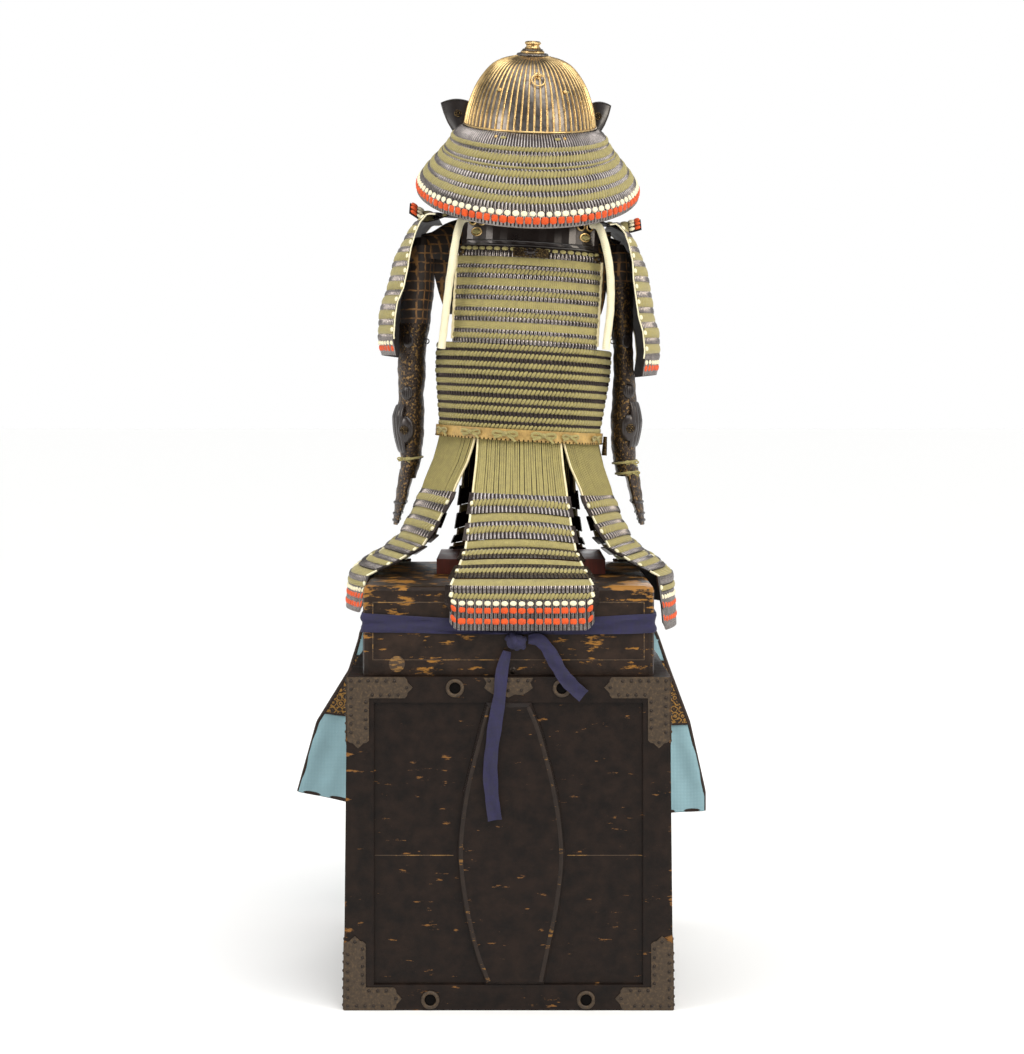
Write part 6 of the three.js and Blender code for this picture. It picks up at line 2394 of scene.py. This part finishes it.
@dataclass
class StorageBox(Assembly):
    """The worn lacquered box: its iron fittings, rope eyes, lock knob and worn lines.

    Args:
        width: Width at the top.
        foot: Width at the floor.
        deep: Half depth.
        plate: Thickness of the iron plates.
        stud: Radius of a stud.
    """

    width: float = 504.0
    foot: float = 514.0
    deep: float = 250.0
    plate: float = 1.4
    stud: float = 2.7

    def build(self) -> None:
        """Dresses the box and adds its fittings."""
        self.dress("box_body", BOX_LACQUER)
        self.dress("box_back_board", BOX_LACQUER)
        self.dress("box_lid", LID_LACQUER)
        iron, studs = Lot(), Lot()
        for face in range(4):
            for side in (-1, 1):
                self._corner(iron, studs, face, side, (520, 487, 421), 90)
                self._corner(iron, studs, face, side, (1, 36, 104), 78)
            self._centre_plate(iron, studs, face)
        self.make("box_iron_fittings", iron, RUSTY_IRON, smooth=30)
        self.make("box_studs", studs, NAIL_IRON)
        self._eyes()
        self._lines()
        self._knob()

    def half(self, z: float) -> float:
        """Gives the box's half width at a height."""
        return mixed(self.foot, self.width, z / 520) / 2

    def on_face(self, face: int, along: float, z: float, out: float) -> Points:
        """Places a point on a side of the box.

        Args:
            face: 0 behind, then round towards +X.
            along: Distance from the face's middle.
            z: Height.
            out: Distance off the face.

        Returns:
            The point.
        """
        turn = math.radians(90 * face)
        half = self.deep if face % 2 == 0 else self.half(z)
        x, y = along, -(half + out)
        return np.array([x * math.cos(turn) - y * math.sin(turn), x * math.sin(turn) + y * math.cos(turn), z])

    def _axes(self, face: int) -> tuple[Points, Points]:
        """Gives a face's right and outward directions.

        Args:
            face: The face's number.

        Returns:
            Two unit vectors.
        """
        x, y = math.cos(math.radians(90 * face)), math.sin(math.radians(90 * face))
        return np.array([x, y, 0.0]), np.array([y, -x, 0.0])

    def _plate(self, lot: Lot, face: int, outline: Sequence[tuple[float, float]]) -> None:
        """Adds a flat plate with the given outline to a face.

        Args:
            lot: The lot that it goes to.
            face: The face's number.
            outline: Corners as places along the face and heights.
        """
        count = len(outline)
        outer = np.array([self.on_face(face, a, z, self.plate) for a, z in outline])
        inner = np.array([self.on_face(face, a, z, 0.05) for a, z in outline])
        sides = [(k, (k + 1) % count, count + (k + 1) % count, count + k) for k in range(count)]
        first = lot.total
        lot.put(np.vstack([outer, inner]), sides)
        lot.faces.append(tuple(first + k for k in reversed(range(count))))
        lot.faces.append(tuple(first + count + k for k in range(count)))

    def _corner(
        self, iron: Lot, studs: Lot, face: int, side: int, heights: tuple[float, float, float], reach: float
    ) -> None:
        """Adds an L-shaped corner plate with scalloped ends.

        Args:
            iron: Lot of the plates.
            studs: Lot of the studs.
            face: The face that it is on.
            side: -1 or 1 along that face.
            heights: Its edge, the rail's edge and the end of its leg.
            reach: How far its arm runs along the rail.
        """
        edge, rail, leg = heights
        end = (self.deep if face % 2 else self.half(edge)) - 0.4
        stile = 34.0
        down = math.copysign(1, leg - edge)
        thick = abs(rail - edge)
        # Both ends are cut as a wavy arc: share along the cut, and how far it stands out there.
        turns = [math.pi * k / 8 for k in range(1, 8)]
        arcs = [(turn / math.pi, 9 * math.sin(turn) * (1 + 0.35 * math.cos(4 * turn))) for turn in turns]
        arm = [(end - reach - out, edge + down * thick * share) for share, out in arcs]
        foot = [(end - stile + stile * share, leg + down * out) for share, out in arcs]
        arm = [(end - reach, edge), *arm, (end - reach, rail), (end - stile, rail), (end - stile, leg)]
        foot += [(end, leg), (end, edge)]
        outline = [(side * a, z) for a, z in arm + foot]
        if (side > 0) != (down > 0):
            outline.reverse()
        self._plate(iron, face, outline)
        spots = [(end - 6 - k * 13.5, edge + down * 6) for k in range(int(reach / 13.5))]
        spots += [(end - 12 - k * 13.5, rail - down * 5) for k in range(2, int(reach / 13.5))]
        spots += [(end - 6, edge + down * (19 + 13.5 * k)) for k in range(int(abs(leg - edge) / 13.5) - 1)]
        spots += [(end - stile + 5, rail + down * (6 + 13.5 * k)) for k in range(int(abs(leg - rail) / 13.5))]
        spots += [(end - reach - 3, (edge + rail) / 2), (end - stile / 2, leg + down * 3)]
        self._studs(studs, face, [(side * a, z) for a, z in spots])

    def _studs(self, lot: Lot, face: int, spots: Sequence[tuple[float, float]]) -> None:
        """Adds round-headed studs to a face.

        Args:
            lot: The lot that they go to.
            face: The face's number.
            spots: Places along the face and heights.
        """
        right, off = self._axes(face)
        for along, z in spots:
            spot = self.on_face(face, along, z, self.plate)
            lot.dome(spot, right * self.stud, UP * self.stud, off * 2.0, sides=8, square=2.0)

    def _centre_plate(self, iron: Lot, studs: Lot, face: int) -> None:
        """Adds the plate in the middle of the top rail.

        Args:
            iron: The lot of the plates.
            studs: The lot of the studs.
            face: The face's number.
        """
        outline = [
            (-39, 519), (-34, 511), (-38, 503), (-30, 497), (-22, 492), (-10, 493), (0, 488), (10, 493),
            (22, 492), (30, 497), (38, 503), (34, 511), (39, 519)
        ]
        self._plate(iron, face, outline[::-1])
        self._studs(studs, face, [(x, 514) for x in range(-30, 31, 15)] + [(x, 499) for x in (-20, 0, 20)])

    def _eyes(self) -> None:
        """Makes the rope eyes: an iron ring round a flat dark disc, painted shade where the hole is."""
        rings, holes = Lot(), Lot()
        spots = ((-83.5, 502.7), (83.5, 502.7), (-122, 16.5), (121, 16.5))
        for face, x, z in ((face, *spot) for face in (0, 2) for spot in spots):
            right, off = self._axes(face)
            centre = self.on_face(face, x, z, 0.4)
            rings.tube(ring_of(centre + off * 0.6, right, UP, 11.6, 32), 2.9, 10, flat=0.8, closed=True)
            # The dark disc is painted shade in the hole.
            holes.dome(centre, right * 9.6, UP * 9.6, off * 0.5, sides=24, square=2.0)
        self.make("box_rope_eyes", rings, RUSTY_IRON)
        self.make("box_rope_eye_painted_shade", holes, SHADOW)

    def _lines(self) -> None:
        """Makes the thin worn lines: the inset frame of the lid and the open board joint."""
        lot = Lot()

        def bar(x0: float, x1: float, z0: float, z1: float, y: float) -> None:
            """Adds a thin upright strip on a rear face.

            Args:
                x0: Its left edge.
                x1: Its right edge.
                z0: Its lower edge.
                z1: Its upper edge.
                y: The face's place.
            """
            depth = 0.35
            corners = [(x, y - d, z) for d in (depth, 0) for x, z in ((x0, z0), (x1, z0), (x1, z1), (x0, z1))]
            lot.put(
                np.asarray(corners, float),
                [(0, 1, 2, 3), (7, 6, 5, 4), (0, 4, 5, 1), (1, 5, 6, 2), (2, 6, 7, 3), (3, 7, 4, 0)]
            )

        for x in (-213.5, 212.0):
            bar(x, x + 1.5, 545, 635, -234.05)
        bar(-213.5, 213.5, 634, 635.6, -234.05)
        bar(-213.5, 213.5, 544, 545.2, -234.05)
        for x0, x1 in ((-209, -86), (92, 209)):
            bar(x0, x1, 240.2, 241.3, -245.05)
        self.make("box_worn_lines", lot, OCHRE_LINE)
        rubbed = Lot()
        # The bead runs just inside the board's outline, and its ends keep clear of the corners. Its lighter
        # lacquer is a painted highlight of the rounded edges, and its ochre flecks are wear.
        ends = {BOARD[0][0]: -7, BOARD[-1][0]: 7}
        for column, inset in ((1, 6), (2, -6)):
            route = [(row[column] + inset, -256.9, row[0] + ends.get(row[0], 0)) for row in BOARD]
            rubbed.tube(smooth_line(route, 70), 3.2, 10, flat=0.5)
        self.make("board_edges_worn_and_highlit", rubbed, WORN_AND_HIGHLIT_LACQUER)

    def _knob(self) -> None:
        """Makes the small lock knob at the lid's lower edge and the worn round mark."""
        lot, mark = Lot(), Lot()
        centre = np.array([7.0, -234.2, 528.0])
        lot.dome(centre, RIGHT * 5.0, UP * 6.0, OFF * 2.0, sides=14, square=2.0)
        lot.dome(centre + OFF * 1.5, RIGHT * 2.8, UP * 2.8, OFF * 5.5, sides=14, square=2.0, rings=4)
        self.make("lid_lock_knob", lot, NAIL_IRON)
        spot = np.array([-175.0, -234.1, 538.0])
        mark.dome(spot, RIGHT * 12.5, UP * 12.5, OFF * 0.5, sides=32, square=2.0)
        self.make("lid_worn_roundel", mark, OCHRE_LINE)


@dataclass
class Stand(Assembly):
    """The plain stand hidden inside: base block and frame.

    Args:
        base: Finish of the block.
        frame: Finish of the frame.
    """

    base: Finish = STAND_PAINT
    frame: Finish = STAND_WOOD

    def build(self) -> None:
        """Dresses both nodes."""
        self.dress("stand_base", self.base)
        self.dress("stand_frame", self.frame)


@dataclass
class Studio:
    """Camera, soft lights and the plain floor.

    Args:
        distance: Distance of the camera behind the box's middle.
        eye: Height of the camera.
        lens: Focal length in millimetres on a 36 mm long side.
        horizon: Row of the horizon in the photograph.
        ambient: Strength of the light from all round.
    """

    distance: float = 3.250
    eye: float = 0.952
    lens: float = 65.7
    horizon: float = 400.0
    ambient: float = 0.42

    def camera(self) -> None:
        """Makes the camera at the photograph's viewing angle."""
        data = bpy.data.cameras.new("camera")
        data.lens = self.lens
        data.sensor_width = 36.0
        data.shift_y = (self.horizon - IMAGE_HEIGHT / 2) / max(IMAGE_WIDTH, IMAGE_HEIGHT)
        camera = bpy.data.objects.new("camera", data)
        camera.location = (0.0055, -self.distance, self.eye)
        camera.rotation_euler = (math.radians(90), 0, 0)
        bpy.context.scene.collection.objects.link(camera)
        bpy.context.scene.camera = camera

    def light(self) -> None:
        """Makes the lights and the world."""
        lamps = (
            ("right_box", (2.3, -1.6, 1.9), (0.0, 0.0, 0.9), 1.0, 22.0, "#fff4e4"),
            ("left_box", (-2.3, -1.5, 1.7), (0.0, 0.0, 0.9), 1.0, 18.0, "#fff8f0"),
            ("front_box", (0.4, 2.6, 1.8), (0.0, 0.0, 0.9), 1.4, 18.0, "#ffffff"),
        )
        for name, spot, aim, size, power, colour in lamps:
            data = bpy.data.lights.new(name, "AREA")
            data.shape, data.size, data.energy = "DISK", size, power
            data.color = linear(colour)[:3]
            lamp = bpy.data.objects.new(name, data)
            lamp.location = spot
            lamp.rotation_euler = (Vector(aim) - Vector(spot)).to_track_quat("-Z", "Y").to_euler()
            bpy.context.scene.collection.objects.link(lamp)
        for name, lean, spin, power in (("soft_sun", 42, 24, 1.75), ("soft_sky", 14, -40, 1.0)):
            data = bpy.data.lights.new(name, "SUN")
            data.energy, data.angle = power, math.radians(50)
            lamp = bpy.data.objects.new(name, data)
            lamp.rotation_euler = (math.radians(lean), 0, math.radians(spin))
            bpy.context.scene.collection.objects.link(lamp)
        # A white backdrop that lights the object less than it looks, so that lacquer stays deep.
        world = bpy.data.worlds.new("studio")
        world.use_nodes = True
        tree = world.node_tree
        tree.nodes.clear()
        seen = add(tree, "LightPath").outputs["Is Camera Ray"]
        where = add(tree, "SeparateXYZ", {"Vector": add(tree, "TexCoord").outputs["Generated"]})
        beside = add(tree, "Math", {0: where.outputs["X"]}, operation="ABSOLUTE")
        sides = add(tree, "MapRange", {
            "Value": beside.outputs["Value"], "From Min": 0.3, "From Max": 0.75, "To Min": 0.12,
            "To Max": 2 * self.ambient
        })
        power = add(tree, "MapRange", {"Value": seen, "To Min": sides.outputs["Result"], "To Max": 1.0})
        glow = add(tree, "Background", {"Color": (1.0, 1.0, 1.0, 1.0), "Strength": power.outputs["Result"]})
        add(tree, "OutputWorld", {"Surface": glow.outputs["Background"]})
        bpy.context.scene.world = world
        bpy.context.scene.view_settings.view_transform = "Standard"

    def floor(self) -> None:
        """Makes the plain pale floor."""
        reach = 60.0
        mesh = bpy.data.meshes.new("floor")
        corners = [(-reach, -reach, 0), (reach, -reach, 0), (reach, reach, 0), (-reach, reach, 0)]
        mesh.from_pydata(corners, [], [(0, 1, 2, 3)])
        material = bpy.data.materials.new("pale_matt_floor_paint")
        material.use_nodes = True
        shader = material.node_tree.nodes["Principled BSDF"]
        shader.inputs["Base Color"].default_value = linear("#f8f8f7")
        shader.inputs["Roughness"].default_value = 0.9
        mesh.materials.append(material)
        ground = bpy.data.objects.new("floor", mesh)
        bpy.context.scene.collection.objects.link(ground)


def main() -> None:
    """Builds the armour, the box and the studio in order."""
    logging.basicConfig(level=logging.INFO, format="%(name)s: %(message)s")
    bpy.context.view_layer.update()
    studio = Studio()
    studio.camera()
    ShoulderCords().build()
    StorageBox().build()
    Stand().build()
    Cuirass().build()
    for panel in TASSETS:
        panel.build()
    Helmet().build()
    ShoulderGuard("left", -1, SODE_LEFT, FLAP_LEFT).build()
    ShoulderGuard("right", 1, SODE_RIGHT, FLAP_RIGHT).build()
    Sleeve("left", -1, SLEEVE_LEFT, 1082.0, (852.0,), 902.0).build()
    Sleeve("right", 1, SLEEVE_RIGHT, 1150.0, (846.0, 828.0), 905.0).build()
    ThighGuard("left", -1, 1, 236.0).build()
    ThighGuard("right", 1, 2, 201.0).build()
    Sash().build()
    studio.light()
    studio.floor()
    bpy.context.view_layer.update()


if __name__ == "__main__":
    main()
